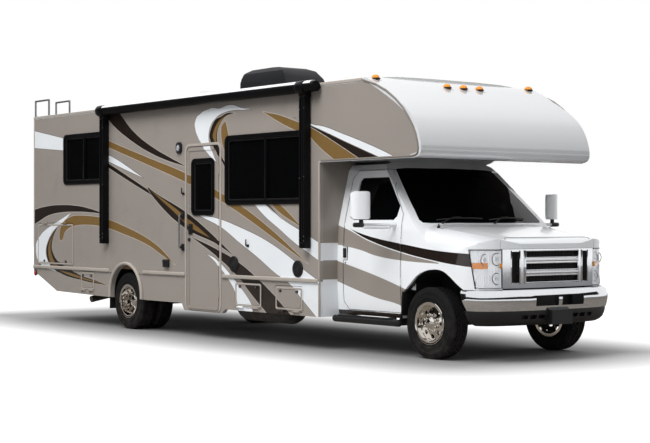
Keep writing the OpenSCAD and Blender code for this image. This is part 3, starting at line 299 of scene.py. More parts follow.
class Effects:
    """Shader node groups that several finishes share, each built at its first use."""

    made: dict[str, bpy.types.NodeTree] = {}

    @classmethod
    def grain(cls) -> bpy.types.NodeTree:
        """Gives the group for fine surface grain: a shade and a height from object coordinates."""
        if "grain" not in cls.made:
            tree, start, end = new_group(
                "fine_grain", [("Vector", "Vector"), ("Scale", "Float")],
                [("Shade", "Float"), ("Height", "Float")],
            )
            kit = Nodes(tree)
            fine = kit.noise(start.outputs["Vector"], 1.0, 4.0)
            tree.links.new(start.outputs["Scale"], fine.node.inputs["Scale"])
            broad = kit.noise(start.outputs["Vector"], 1.7, 2.0)
            shade = kit.math("ADD", kit.math("MULTIPLY", fine, 0.5), kit.math("MULTIPLY", broad, 0.5))
            tree.links.new(shade, end.inputs["Shade"])
            tree.links.new(fine, end.inputs["Height"])
            cls.made["grain"] = tree
        return cls.made["grain"]

    @classmethod
    def dust(cls) -> bpy.types.NodeTree:
        """Gives the group for road dust that thins out with height: a mask from object coordinates."""
        if "dust" not in cls.made:
            tree, start, end = new_group(
                "road_dust", [("Vector", "Vector"), ("Top", "Float"), ("Amount", "Float")],
                [("Mask", "Float")],
            )
            kit = Nodes(tree)
            height = kit.add("SeparateXYZ", Vector=start.outputs["Vector"]).outputs["Z"]
            fall = kit.math("SUBTRACT", 1.0, kit.math("DIVIDE", height, start.outputs["Top"]), clamp=True)
            blotch = kit.ramp(kit.noise(start.outputs["Vector"], 14.0, 5.0), 0.35, 0.7)
            mask = kit.math("MULTIPLY", kit.math("MULTIPLY", fall, blotch), start.outputs["Amount"])
            tree.links.new(mask, end.inputs["Mask"])
            cls.made["dust"] = tree
        return cls.made["dust"]


class Painted:
    """Makes one material of a finish from its nodes."""

    def __init__(self, name: str) -> None:
        """Starts a material with its Principled shader and object coordinates."""
        self.material = bpy.data.materials.new(name)
        self.material.use_nodes = True
        tree = self.material.node_tree
        self.kit = Nodes(tree)
        self.shader = tree.nodes["Principled BSDF"]
        self.place = tree.nodes.new("ShaderNodeTexCoord").outputs["Object"]

    def set(self, **values: object) -> None:
        """Sets inputs of the shader by name, with _ for a space; a socket is linked."""
        for name, value in values.items():
            feed(self.kit.tree, self.shader.inputs[name.replace("_", " ")], value)

    def group(self, tree: bpy.types.NodeTree, **inputs: object) -> bpy.types.Node:
        """Places a node group.

        Args:
            tree: The group.
            inputs: Values or sockets by input name.

        Returns:
            The group's node.
        """
        node = self.kit.tree.nodes.new("ShaderNodeGroup")
        node.node_tree = tree
        for name, value in inputs.items():
            feed(self.kit.tree, node.inputs[name], value)
        return node

    def bump(self, height: bpy.types.NodeSocket, depth: float, strength: float) -> None:
        """Bends the surface's normal by a height.

        Args:
            height: Height socket.
            depth: Metres that a height of 1 stands for.
            strength: Share of the effect.
        """
        node = self.kit.add("Bump", Height=height, Distance=depth, Strength=strength)
        self.set(Normal=node.outputs["Normal"])


class Coat(Enum):
    """Colours of the painted bands, each with the thin line round it."""

    WHITE = ((233, 236, 239), (112, 104, 98))
    DARK = ((36, 28, 24), (186, 179, 171))
    GOLD = ((124, 97, 55), (186, 179, 171))
    TAUPE = ((150, 142, 134), (150, 142, 134))


@dataclass(frozen=True)
class Band:
    """A painted band between two edges, as points of x and z, or of degrees and radius round a middle."""

    coat: Coat
    first: tuple[Flat, ...]
    second: tuple[Flat, ...]
    run: Run = Run.LENGTH
    middle: Flat = (0.0, 0.0)
    line: float = 9.0

    def inside(self, kit: Nodes, x: bpy.types.NodeSocket, z: bpy.types.NodeSocket) -> bpy.types.NodeSocket:
        """Adds the nodes that tell how deep a point lies in the band.

        Args:
            kit: Node tree to add to.
            x: Socket with x in millimetres.
            z: Socket with z in millimetres.

        Returns:
            Socket with the depth in millimetres, below 0 outside.
        """
        along, across, per_step = x, z, 1.0
        edges = [self.first, self.second]
        if self.run is Run.HEIGHT:
            along, across = z, x
            edges = [tuple((b, a) for a, b in edge) for edge in edges]
        if self.run is Run.TURN:
            dx = kit.math("SUBTRACT", x, self.middle[0])
            dz = kit.math("SUBTRACT", z, self.middle[1])
            share = kit.math("DIVIDE", kit.math("ARCTAN2", dz, dx), 2 * math.pi)
            turn = kit.math("FRACT", kit.math("ADD", share, 1.0))
            along, per_step = kit.math("MULTIPLY", turn, 360.0), 8.0
            across = kit.length(dx, dz)
        edges = [tuple(sorted(edge)) for edge in edges]
        steps = [a for edge in edges for a, _ in edge]
        heights = [b for edge in edges for _, b in edge]
        start, end, low, high = min(steps), max(steps), min(heights) - 1, max(heights) + 1
        share = kit.add("MapRange", Value=along, From_Min=start, From_Max=end).outputs[0]
        lines = []
        for edge in edges:
            node = kit.add("FloatCurve", Value=share)
            curve = node.mapping.curves[0]
            spots = [((a - start) / (end - start), (b - low) / (high - low)) for a, b in edge]
            curve.points[0].location, curve.points[1].location = spots[0], spots[-1]
            for spot in spots[1:-1]:
                curve.points.new(*spot)
            for point in curve.points:
                point.handle_type = "AUTO_CLAMPED"
            node.mapping.update()
            lines.append(kit.math("MULTIPLY_ADD", node.outputs[0], high - low, low))
        upper, lower = kit.math("MAXIMUM", *lines), kit.math("MINIMUM", *lines)
        depth = kit.math("MINIMUM", kit.math("SUBTRACT", across, lower), kit.math("SUBTRACT", upper, across))
        ends = kit.math("MINIMUM", kit.math("SUBTRACT", along, start), kit.math("SUBTRACT", end, along))
        return kit.math("MINIMUM", depth, kit.math("MULTIPLY", ends, per_step))


def livery(name: str, base: tuple[int, int, int], bands: Sequence[Band]) -> bpy.types.NodeTree:
    """Builds the group that paints bands over a base colour by object coordinates.

    Args:
        name: Name of the group.
        base: Screen colour of the panel.
        bands: Bands in painting order.

    Returns:
        The group, with the input Vector and the output Colour.
    """
    tree, start, end = new_group(name, [("Vector", "Vector")], [("Colour", "Color")])
    kit = Nodes(tree)
    split = kit.add("SeparateXYZ", Vector=start.outputs["Vector"])
    x = kit.math("SUBTRACT", kit.math("MULTIPLY", split.outputs["X"], MM), AXLE_X)
    z = kit.math("MULTIPLY", split.outputs["Z"], MM)
    colour: object = paint(*base)
    for band in bands:
        depth = band.inside(kit, x, z)
        fill, line = band.coat.value
        if band.line > 0:
            colour = kit.mix(kit.ramp(depth, -band.line, -band.line + 3), colour, paint(*line))
        colour = kit.mix(kit.ramp(depth, -1.5, 1.5), colour, paint(*fill))
    tree.links.new(colour, end.inputs["Colour"])
    return tree


@dataclass(frozen=True)
class Finish:
    """One surface finish: its colour, gloss, grain and the dust on it."""

    name: str
    colour: tuple[int, int, int]
    metallic: float = 0.0
    roughness: float = 0.4
    grain: float = 220.0
    shade: float = 0.08
    relief: float = 0.0
    coat: float = 0.0
    specular: float = 0.5
    dust: float = 0.0
    dust_top: float = 0.9
    dust_colour: tuple[int, int, int] = (146, 136, 122)

    def base(self, job: Painted) -> object:
        """Gives the colour under grain and dust, here one plain colour."""
        return paint(*self.colour)

    def extra(self, job: Painted) -> None:
        """Adds what only this kind of finish has; a plain one adds nothing."""

    def material(self) -> bpy.types.Material:
        """Gives the material, built at its first use.

        Returns:
            The Blender material.
        """
        ready = bpy.data.materials.get(self.name)
        if ready is not None:
            return ready
        job = Painted(self.name)
        kit = job.kit
        grain = job.group(Effects.grain(), Vector=job.place, Scale=self.grain)
        tone = kit.ramp(grain.outputs["Shade"], 0.3, 0.7, 1 - self.shade, 1 + self.shade)
        base = self.base(job)
        colour = kit.add("VectorMath", in0=base if isinstance(base, bpy.types.NodeSocket) else base[:3])
        colour.operation = "SCALE"
        kit.tree.links.new(tone, colour.inputs["Scale"])
        final = colour.outputs[0]
        least, most = self.roughness * 0.88, min(1.0, self.roughness * 1.12)
        rough = kit.ramp(grain.outputs["Shade"], 0.3, 0.7, least, most)
        if self.dust > 0:
            dust = job.group(Effects.dust(), Vector=job.place, Top=self.dust_top, Amount=self.dust)
            mask = dust.outputs["Mask"]
            final = kit.mix(mask, final, paint(*self.dust_colour))
            rough = kit.math("MAXIMUM", rough, kit.math("MULTIPLY", mask, 0.9))
        job.set(Base_Color=final, Roughness=rough, Metallic=self.metallic)
        job.set(Coat_Weight=self.coat, Coat_Roughness=0.04, Specular_IOR_Level=self.specular)
        if self.relief > 0:
            job.bump(grain.outputs["Height"], self.relief / MM, 0.6)
        self.extra(job)
        return job.material


@dataclass(frozen=True)
class StripedFinish(Finish):
    """A panel finish with painted bands."""

    bands: tuple[Band, ...] = ()

    def base(self, job: Painted) -> object:
        """Gives the banded colour from the livery group, placed once in each material.

        Args:
            job: The material in the making.

        Returns:
            The colour's socket.
        """
        name = self.name + "_bands"
        placed = [n for n in job.kit.tree.nodes if n.type == "GROUP" and n.node_tree.name == name]
        if placed:
            return placed[0].outputs["Colour"]
        tree = bpy.data.node_groups.get(name) or livery(name, self.colour, self.bands)
        return job.group(tree, Vector=job.place).outputs["Colour"]


@dataclass(frozen=True)
class GlassFinish(Finish):
    """Clear or tinted glass and lamp lenses."""

    clear: float = 1.0
    ior: float = 1.45

    def extra(self, job: Painted) -> None:
        """Lets light through."""
        job.set(Transmission_Weight=self.clear, IOR=self.ior)


@dataclass(frozen=True)
class ClothFinish(Finish):
    """Woven cloth with sheen."""

    weave: float = 900.0

    def extra(self, job: Painted) -> None:
        """Adds the weave's relief and sheen."""
        kit = job.kit
        across = kit.add("TexWave", Vector=job.place, Scale=self.weave / 6, Distortion=0.4).outputs["Fac"]
        job.bump(across, 0.0006, 0.5)
        job.set(Sheen_Weight=0.35, Sheen_Roughness=0.5)


@dataclass(frozen=True)
class FluteFinish(Finish):
    """Bright metal pressed into upright flutes."""

    pitch: float = 130.0

    def extra(self, job: Painted) -> None:
        """Adds the flutes as relief."""
        wave = job.kit.add("TexWave", Vector=job.place, Scale=self.pitch / TURN, Distortion=0.0)
        wave.bands_direction = "Y"
        job.bump(wave.outputs["Fac"], 0.003, 0.5)


@dataclass(frozen=True)
class CapFinish(Finish):
    """Gloss gelcoat with a dark underside of painted shade."""

    # under: colour of the painted shade on the faces below the level, which is in millimetres.
    under: tuple[int, int, int] = (60, 57, 54)
    level: float = 2067.0

    def base(self, job: Painted) -> object:
        """Gives the colour by height: painted shade below the level, the gelcoat's own colour above.

        Args:
            job: The material in the making.

        Returns:
            The colour's socket.
        """
        kit = job.kit
        height = kit.add("SeparateXYZ", Vector=job.place).outputs["Z"]
        share = kit.ramp(height, self.level / MM + 0.001, self.level / MM + 0.006, 0.0, 1.0)
        return kit.mix(share, paint(*self.under), paint(*self.colour))


HOUSE_BANDS = (
    Band(Coat.WHITE, ((-8336, 2747), (-7000, 2530)), ((-8336, 2496), (-7000, 2395))),
    Band(Coat.DARK, ((-6198, 3100), (-5920, 2925), (-5456, 2590), (-5011, 2382), (-4537, 2215),
         (-4183, 2100)), ((-6198, 2844), (-6013, 2711), (-5548, 2487), (-5097, 2318), (-4622, 2188),
         (-4183, 2100))),
    Band(Coat.WHITE, ((-6252, 2347), (-6013, 2280), (-5231, 1986)), ((-6252, 2266), (-6013, 2196),
         (-5231, 1986))),
    Band(Coat.DARK, ((-6252, 2245), (-6013, 2160), (-5136, 1841)), ((-6252, 2191), (-6013, 2101),
         (-5037, 1760))),
    Band(Coat.DARK, ((-5120, 1870), (-5028, 1826), (-4181, 1527), (-3542, 1223), (-3145, 1006)),
         ((-5120, 1845), (-4997, 1743), (-4181, 1321), (-3542, 1154), (-3145, 1006))),
    Band(Coat.GOLD, ((-5060, 1826), (-4507, 1608), (-4123, 1439), (-3667, 1222)), ((-5060, 1826),
         (-4507, 1552), (-4123, 1353), (-3667, 1222)), line=0),
    Band(Coat.GOLD, ((-6252, 2543), (-6013, 2476), (-5186, 2264), (-4163, 2006), (-3430, 1763), (-3092, 1641),
         (-2440, 1347), (-1712, 953)), ((-6252, 2455), (-6013, 2388), (-5186, 2171), (-4163, 1896),
         (-3430, 1667), (-2796, 1420), (-2232, 1176), (-1712, 953))),
    Band(Coat.WHITE, ((-4210, 1654), (-3921, 1525), (-3436, 1445), (-3052, 1356), (-2510, 1203),
         (-2028, 1007), (-1762, 873), (-1490, 755)), ((-4210, 1654), (-3921, 1505), (-3436, 1355),
         (-3052, 1177), (-2652, 995), (-2335, 837), (-2062, 724), (-1762, 515), (-1490, 320))),
    Band(Coat.WHITE, ((-3737, 1027), (-3528, 962), (-3163, 741), (-2941, 590), (-2788, 445), (-2759, 340)),
         ((-3737, 1027), (-3528, 915), (-3201, 665), (-3119, 562), (-3052, 340))),
    Band(Coat.DARK, ((-4094, 1234), (-3542, 1092), (-3126, 964), (-2724, 785), (-2370, 591), (-1980, 340)),
         ((-4094, 1234), (-3542, 1008), (-3052, 754), (-2796, 574), (-2440, 330))),
    Band(Coat.WHITE, ((-2760, 1638), (-2599, 1637), (-2370, 1532), (-2095, 1409), (-1745, 1281),
         (-1490, 1180)), ((-2760, 1638), (-2545, 1492), (-2232, 1328), (-1927, 1169), (-1745, 1092),
         (-1490, 980))),
    Band(Coat.DARK, ((-2652, 1679), (-2510, 1640), (-2198, 1450)), ((-2652, 1679), (-2553, 1640),
         (-2198, 1450))),
    Band(Coat.GOLD, ((-2440, 1697), (-2284, 1638), (-1795, 1340)), ((-2440, 1697), (-2370, 1604),
         (-1795, 1340))),
    Band(Coat.WHITE, ((43, 624), (67, 511), (102, 510), (130, 645), (145, 769), (155, 827), (160, 797),
         (167, 706), (175, 590), (197, 388), (210, 317)), ((43, 624), (66, 482), (98, 438), (128, 473),
         (146, 497), (159, 482), (172, 435), (184, 373), (210, 317)), Run.TURN, (-3250, 2300)),
    Band(Coat.DARK, ((73, 420), (110, 419), (135, 469), (153, 470), (166, 424), (185, 295), (226, 227),
         (258, 278)), ((73, 420), (100, 385), (120, 359), (141, 328), (159, 281), (189, 201), (226, 190),
         (258, 278)), Run.TURN, (-3250, 2300)),
    Band(Coat.GOLD, ((78, 406), (108, 395), (133, 403), (152, 400), (163, 349), (172, 300)), ((78, 406),
         (103, 383), (126, 358), (146, 335), (165, 300), (172, 300)), Run.TURN, (-3250, 2300), 0),
    Band(Coat.GOLD, ((-3333, 2627), (-3429, 2525), (-3421, 2417), (-3307, 2188)), ((-3333, 2627),
         (-3295, 2519), (-3258, 2410), (-3220, 2185)), Run.HEIGHT),
    Band(Coat.GOLD, ((-2563, 2689), (-2232, 2629), (-1961, 2554), (-1745, 2493), (-1567, 2438), (-1140, 2278),
         (-760, 2060)), ((-2563, 2689), (-2232, 2548), (-1961, 2454), (-1745, 2399), (-1567, 2287),
         (-1489, 2234), (-1140, 2040))),
    Band(Coat.DARK, ((-1762, 2503), (-1567, 2454), (-1489, 2427), (-1082, 2291), (-380, 2060)),
         ((-1762, 2503), (-1567, 2434), (-1489, 2401), (-1174, 2261), (-740, 2060))),
    Band(Coat.WHITE, ((-1961, 2590), (-1745, 2532), (-1567, 2484), (-1489, 2474), (-1082, 2363), (-572, 2208),
         (-150, 2060)), ((-1961, 2590), (-1745, 2519), (-1567, 2458), (-1489, 2434), (-1082, 2295),
         (-370, 2060))),
    Band(Coat.DARK, ((-8364, 1583), (-7944, 1635), (-7556, 1654), (-7068, 1643), (-6597, 1590),
         (-6229, 1518)), ((-8364, 1358), (-8142, 1424), (-7748, 1524), (-7442, 1550), (-7068, 1557),
         (-6597, 1544), (-6229, 1518))),
    Band(Coat.DARK, ((-7556, 1351), (-7729, 1241), (-7881, 1084), (-7908, 992), (-7869, 882), (-7756, 775),
         (-7640, 711)), ((-7556, 1351), (-7690, 1196), (-7740, 1068), (-7702, 977), (-7594, 879),
         (-7366, 785), (-7300, 711)), Run.HEIGHT),
    Band(Coat.GOLD, ((-7600, 1310), (-7725, 1210), (-7835, 1084), (-7850, 992), (-7815, 882), (-7700, 775),
         (-7600, 735)), ((-7600, 1310), (-7705, 1200), (-7780, 1068), (-7760, 977), (-7690, 879),
         (-7550, 775), (-7500, 735)), Run.HEIGHT, line=0),
    Band(Coat.DARK, ((-7700, 740), (-7366, 785), (-7104, 720), (-6884, 672), (-6526, 622), (-6143, 560)),
         ((-7700, 740), (-7555, 700), (-7253, 644), (-6884, 609), (-6526, 578), (-6143, 560)), line=6),
    Band(Coat.GOLD, ((-7560, 735), (-7300, 710), (-6884, 655), (-6143, 560)), ((-7560, 735), (-7253, 672),
         (-6884, 627), (-6143, 560)), line=0),
    Band(Coat.WHITE, ((-7179, 1543), (-7556, 1424), (-7787, 1351), (-8102, 1211), (-8242, 1061), (-8222, 913),
         (-8122, 822), (-8002, 769), (-7613, 711)), ((-7179, 1543), (-7385, 1424), (-7594, 1342),
         (-7768, 1232), (-7896, 1084), (-7924, 992), (-7884, 882), (-7767, 775), (-7613, 711)), Run.HEIGHT),
    Band(Coat.GOLD, ((-7506, 1234), (-7487, 1306), (-7442, 1361), (-7291, 1460), (-6994, 1504), (-6668, 1497),
         (-6247, 1463), (-5705, 1356), (-5281, 1249), (-4872, 1106), (-4461, 878)), ((-7506, 1179),
         (-7460, 1153), (-7366, 1253), (-7235, 1325), (-7031, 1365), (-6740, 1376), (-6246, 1343),
         (-5771, 1263), (-5122, 1119), (-4810, 1009), (-4461, 878))),
)

CAB_BANDS = (
    Band(Coat.TAUPE, ((-1560, 1395), (-1303, 1323), (-973, 1211), (-360, 1077), (159, 998)), ((-1560, 1171),
         (-1137, 1116), (-813, 1049), (-360, 1007), (159, 988)), line=0),
    Band(Coat.TAUPE, ((-1560, 997), (-1137, 907), (-813, 833), (-499, 751), (-340, 705)), ((-1560, 774),
         (-1137, 667), (-813, 597), (-499, 549), (-340, 500)), line=0),
    Band(Coat.DARK, ((-1520, 447), (-424, 447)), ((-1520, 300), (-424, 300)), line=0),
    Band(Coat.DARK, ((-1303, 1340), (-973, 1263), (-360, 1177), (101, 1124), (680, 1090)), ((-1303, 1340),
         (-973, 1222), (-360, 1087), (101, 1017), (680, 952)), line=0),
)

RETURN_BANDS = (
    Band(Coat.WHITE, ((-1600, 1184), (-1400, 1184)), ((-1600, 993), (-1400, 993)), line=0),
    Band(Coat.WHITE, ((-1600, 780), (-1400, 780)), ((-1600, 300), (-1400, 300)), line=0),
)


class Palette:
    """Every finish on the vehicle, by the name of what it covers."""

    panel = StripedFinish("taupe_panel_paint", (151, 143, 136), roughness=0.3, shade=0.025, relief=0.1,
                          coat=0.25, dust=0.1, dust_top=0.75, bands=HOUSE_BANDS)
    # A darker copy of the panel taupe: painted shade on the forward-facing front return wall.
    front_return = StripedFinish("front_return_paint", (140, 132, 124), roughness=0.3, shade=0.025, coat=0.25,
                                 bands=RETURN_BANDS)
    plain_panel = Finish("rear_panel_paint", (151, 143, 136), roughness=0.3, shade=0.03, relief=0.1,
                         coat=0.25)
    cab = StripedFinish("cab_paint", (246, 248, 250), roughness=0.22, grain=400, shade=0.012, coat=0.6,
                        bands=CAB_BANDS)
    cab_plain = Finish("plain_cab_paint", (246, 248, 250), roughness=0.22, grain=400, shade=0.012, coat=0.6)
    # The cap's underside carries painted shade from CapFinish.
    cap = CapFinish("cap_gelcoat", (219, 220, 222), roughness=0.12, grain=120, shade=0.012, coat=0.8)
    roof = Finish("roof_membrane", (222, 223, 222), roughness=0.6, grain=60, shade=0.04, relief=0.6)
    chrome = Finish("chrome_plate", (226, 228, 231), metallic=1.0, roughness=0.07, grain=30, shade=0.03)
    steel = Finish("polished_wheel_cover", (226, 222, 217), metallic=1.0, roughness=0.09, grain=90,
                   shade=0.04, dust=0.04, dust_top=0.6)
    rubber = Finish("tyre_rubber", (22, 22, 23), roughness=0.7, grain=260, shade=0.18, relief=0.5, dust=0.07,
                    dust_top=0.7, specular=0.22)
    plastic = Finish("black_moulded_plastic", (24, 24, 26), roughness=0.48, grain=900, shade=0.14,
                     relief=0.25)
    satin = Finish("black_satin_frame", (11, 11, 13), roughness=0.34, grain=300, shade=0.1, specular=0.12)
    grey = Finish("dark_shroud", (24, 25, 28), roughness=0.5, grain=500, shade=0.08, relief=0.3,
                  specular=0.25)
    frame = Finish("chassis_black", (26, 26, 27), roughness=0.6, grain=80, shade=0.2, relief=0.5, dust=0.22,
                   dust_top=0.6)
    engine = Finish("cast_engine", (92, 90, 88), metallic=0.5, roughness=0.5, grain=120, shade=0.15,
                    relief=0.6)
    exhaust = Finish("heated_steel", (104, 99, 94), metallic=0.8, roughness=0.42, grain=60, shade=0.2,
                     relief=0.2, dust=0.3)
    alloy = Finish("bright_alloy", (160, 162, 166), metallic=0.9, roughness=0.28, grain=200, shade=0.05)
    trim = Finish("taupe_moulding", (172, 164, 155), roughness=0.26, grain=200, shade=0.03, coat=0.3)
    wood = Finish("floor_boards", (112, 88, 62), roughness=0.5, grain=35, shade=0.2, relief=0.2)
    glass = GlassFinish("tinted_glass", (5, 6, 7), roughness=0.02, shade=0.0, clear=0.1, ior=1.2)
    house_glass = GlassFinish("deep_tinted_glass", (8, 9, 10), roughness=0.03, shade=0.0, clear=0.3)
    lens = GlassFinish("lamp_lens", (247, 248, 250), roughness=0.03, shade=0.0, clear=0.96)
    amber = Finish("amber_lens", (236, 146, 26), roughness=0.15, grain=700, shade=0.1, relief=0.4, coat=0.6)
    red = Finish("red_lens", (178, 22, 20), roughness=0.15, grain=700, shade=0.1, relief=0.4, coat=0.6)
    awning_cloth = Finish("awning_vinyl", (11, 11, 13), roughness=0.45, grain=500, shade=0.15, relief=0.2,
                          specular=0.1)
    seat_cloth = ClothFinish("seat_cloth", (96, 86, 76), roughness=0.9, grain=700, shade=0.16)
    piping = ClothFinish("seat_piping_cloth", (52, 46, 41), roughness=0.85, grain=700, shade=0.12)
    # Near-black sheet that stands for the shade inside openings and slots: painted shade.
    dark_void = Finish("shadowed_core", (9, 9, 10), roughness=0.7, grain=200, shade=0.1)
    card = Finish("dark_card", (58, 56, 54), roughness=0.95, grain=0.4, shade=0.35, specular=0.0)
    seam = Finish("seam_moulding", (128, 121, 114), roughness=0.35, grain=200, shade=0.05)
    grille_cloth = Finish("speaker_cover", (38, 38, 40), roughness=0.6, grain=800, shade=0.2, relief=0.3)
    mirror = Finish("mirror_glass", (212, 216, 220), metallic=1.0, roughness=0.03, grain=20, shade=0.01)
    reflector = FluteFinish("lamp_reflector", (240, 242, 245), metallic=0.5, roughness=0.22, grain=30,
                            shade=0.03)
    seam_line = Finish("dark_shut_line", (70, 71, 73), roughness=0.5, grain=200, shade=0.05)
    asphalt = Finish("asphalt_card", (140, 133, 125), roughness=0.95, grain=3, shade=0.12, specular=0.0)
    concrete = Finish("concrete_card", (186, 186, 187), roughness=0.95, grain=3, shade=0.1, specular=0.0)
    white_plastic = Finish("white_plastic", (226, 227, 227), roughness=0.35, grain=500, shade=0.03,
                           relief=0.1)


NODE_FINISH: dict[Finish, tuple[str, ...]] = {
    Palette.panel: (
        "house_wall_right", "house_wall_left", "entry_door", "hatch_right_rear", "hatch_right_mid",
        "hatch_right_front", "hatch_right_step", "hatch_left_rear", "hatch_left_front",
    ),
    Palette.front_return: ("house_wall_front",),
    Palette.plain_panel: ("house_wall_rear",),
    Palette.cab: ("cab_shell", "hood", "fender_left", "fender_right", "cab_door_left", "cab_door_right"),
    Palette.cap: ("overcab_cap",),
    Palette.roof: ("house_roof",),
    Palette.white_plastic: ("roof_vents",),
    Palette.chrome: ("grille", "front_bumper"),
    Palette.lens: ("headlamps",),
    Palette.steel: ("wheel_front_left", "wheel_front_right", "wheels_rear_left", "wheels_rear_right"),
    Palette.plastic: (
        "air_dam", "running_boards", "dashboard", "steering_wheel", "entry_steps", "rear_bumper",
    ),
    Palette.satin: ("awning",),
    Palette.grey: ("roof_air_conditioner",),
    Palette.frame: ("chassis_frame", "front_axle", "rear_axle", "knuckle_left", "knuckle_right", "gas_tank"),
    Palette.engine: ("engine",),
    Palette.exhaust: ("exhaust",),
    Palette.alloy: ("ladder",),
    Palette.wood: ("house_floor",),
    Palette.glass: ("windshield", "door_glass_left", "door_glass_right"),
    Palette.house_glass: ("windows_right", "windows_left", "entry_door_window"),
}


class Shape:
    """The mesh of one piece in the making, joined from small solids that bmesh operators shape."""

    def __init__(self, finish: Finish) -> None:
        """Starts an empty mesh with its first finish."""
        self.bm = bmesh.new()
        self.finishes = [finish]
        self.now = 0

    def use(self, finish: Finish) -> Shape:
        """Gives the next solids another finish, and returns the shape."""
        if finish not in self.finishes:
            self.finishes.append(finish)
        self.now = self.finishes.index(finish)
        return self

    def join(self, part: bmesh.types.BMesh, outward: bool = True) -> Shape:
        """Takes a finished solid into the piece.

        Args:
            part: The solid's mesh, which is freed.
            outward: Whether its faces are turned outwards first.

        Returns:
            This shape.
        """
        bmesh.ops.remove_doubles(part, verts=part.verts, dist=1e-6)
        if outward:
            bmesh.ops.recalc_face_normals(part, faces=part.faces)
        for face in part.faces:
            face.material_index = self.now
        return self.absorb(part)

    def absorb(self, part: bmesh.types.BMesh) -> Shape:
        """Copies a mesh into the piece, frees it and returns the shape."""
        carrier = to_mesh(part, "carrier")
        self.bm.from_mesh(carrier)
        bpy.data.meshes.remove(carrier)
        return self

    @staticmethod
    def soften(part: bmesh.types.BMesh, by: float, steps: int, least: float = 0.5) -> None:
        """Rounds the sharp edges of a solid.

        Args:
            part: The solid's mesh.
            by: Width of the rounding in millimetres, 0 for none.
            steps: Segments of the rounding.
            least: Edges with a smaller angle than this, in radians, stay.
        """
        if by <= 0:
            return
        sharp = [e for e in part.edges if len(e.link_faces) == 2 and e.calc_face_angle(0) > least]
        bmesh.ops.bevel(part, geom=sharp, offset=by / MM, offset_type="OFFSET", segments=steps, profile=0.5,
                        affect="EDGES", material=-1, clamp_overlap=True)

    def box(self, low: Point, high: Point, soft: float = 0.0, steps: int = 2) -> Shape:
        """Adds a block between two corners.

        Args:
            low: Lowest corner.
            high: Highest corner.
            soft: Rounding of its edges.
            steps: Segments of the rounding.

        Returns:
            This shape.
        """
        part = bmesh.new()
        bmesh.ops.create_cube(part, size=1.0)
        a, b = at(*low), at(*high)
        place = Matrix.Translation((a + b) / 2) @ Matrix.Diagonal((*(b - a), 1.0))
        bmesh.ops.transform(part, matrix=place, verts=part.verts)
        self.soften(part, soft, steps)
        return self.join(part)

    def side_box(self, s: int, low: Point, high: Point, soft: float = 0.0, steps: int = 2) -> Shape:
        """Adds a block on one side of the vehicle.

        Args:
            s: -1 on the right, 1 on the left.
            low: Lowest corner as it lies on the left.
            high: Highest corner as it lies on the left.
            soft: Rounding of its edges.
            steps: Segments of the rounding.

        Returns:
            This shape.
        """
        a, b = sorted((s * low[1], s * high[1]))
        return self.box((low[0], a, low[2]), (high[0], b, high[2]), soft, steps)

    def rod(
        self, start: Point, end: Point, radius: float, tip: float | None = None, sides: int = 24,
        soft: float = 0.0,
    ) -> Shape:
        """Adds a round bar or cone between two points.

        Args:
            start: Middle of the first end.
            end: Middle of the second end.
            radius: Radius at the first end.
            tip: Radius at the second end, the same if None.
            sides: Faces round it.
            soft: Rounding of its ends.

        Returns:
            This shape.
        """
        a, b = at(*start), at(*end)
        part = bmesh.new()
        bmesh.ops.create_cone(part, cap_ends=True, segments=sides, radius1=radius / MM,
                              radius2=(radius if tip is None else tip) / MM, depth=(b - a).length)
        turn = Vector((0, 0, 1)).rotation_difference(b - a).to_matrix().to_4x4()
        bmesh.ops.transform(part, matrix=Matrix.Translation((a + b) / 2) @ turn, verts=part.verts)
        self.soften(part, soft, 2)
        return self.join(part)

    def ball(self, middle: Point, radii: Point, sides: int = 20) -> Shape:
        """Adds a rounded knob with three half sizes round a middle."""
        part = bmesh.new()
        bmesh.ops.create_uvsphere(part, u_segments=sides, v_segments=max(8, sides // 2), radius=1.0)
        size = Matrix.Diagonal((radii[0] / MM, radii[1] / MM, radii[2] / MM, 1.0))
        bmesh.ops.transform(part, matrix=Matrix.Translation(at(*middle)) @ size, verts=part.verts)
        return self.join(part)

    def lathe(
        self, profile: Sequence[Flat], middle: Point, side: Side, steps: int = 64, closed: bool = True
    ) -> Shape:
        """Turns a profile about an axle along y.

        Args:
            profile: Radius and distance outwards of each point.
            middle: Point on the axle that distances start from.
            side: The side of the vehicle that is outwards.
            steps: Segments of the full turn.
            closed: Whether the last point joins the first.

        Returns:
            This shape.
        """
        return self.join(self.turned(profile, middle, side, steps, closed))

    @staticmethod
    def turned(
        profile: Sequence[Flat], middle: Point, side: Side, steps: int, closed: bool
    ) -> bmesh.types.BMesh:
        """Spins a profile into a mesh of its own.

        Args:
            profile: Radius and distance outwards of each point.
            middle: Point on the axle that distances start from.
            side: The side of the vehicle that is outwards.
            steps: Segments of the full turn.
            closed: Whether the last point joins the first.

        Returns:
            The turned mesh.
        """
        part = bmesh.new()
        x, y, z = middle
        points = [part.verts.new(at(x, y + side.value * w, z + r)) for r, w in profile]
        ring = points + points[:1] if closed else points
        edges = [part.edges.new(pair) for pair in zip(ring, ring[1:])]
        bmesh.ops.spin(part, geom=points + edges, cent=at(*middle), axis=(0, 1, 0), dvec=(0, 0, 0),
                       angle=2 * math.pi, steps=steps, use_merge=True, use_duplicate=False)
        bmesh.ops.remove_doubles(part, verts=part.verts, dist=1e-6)
        bmesh.ops.recalc_face_normals(part, faces=part.faces)
        return part

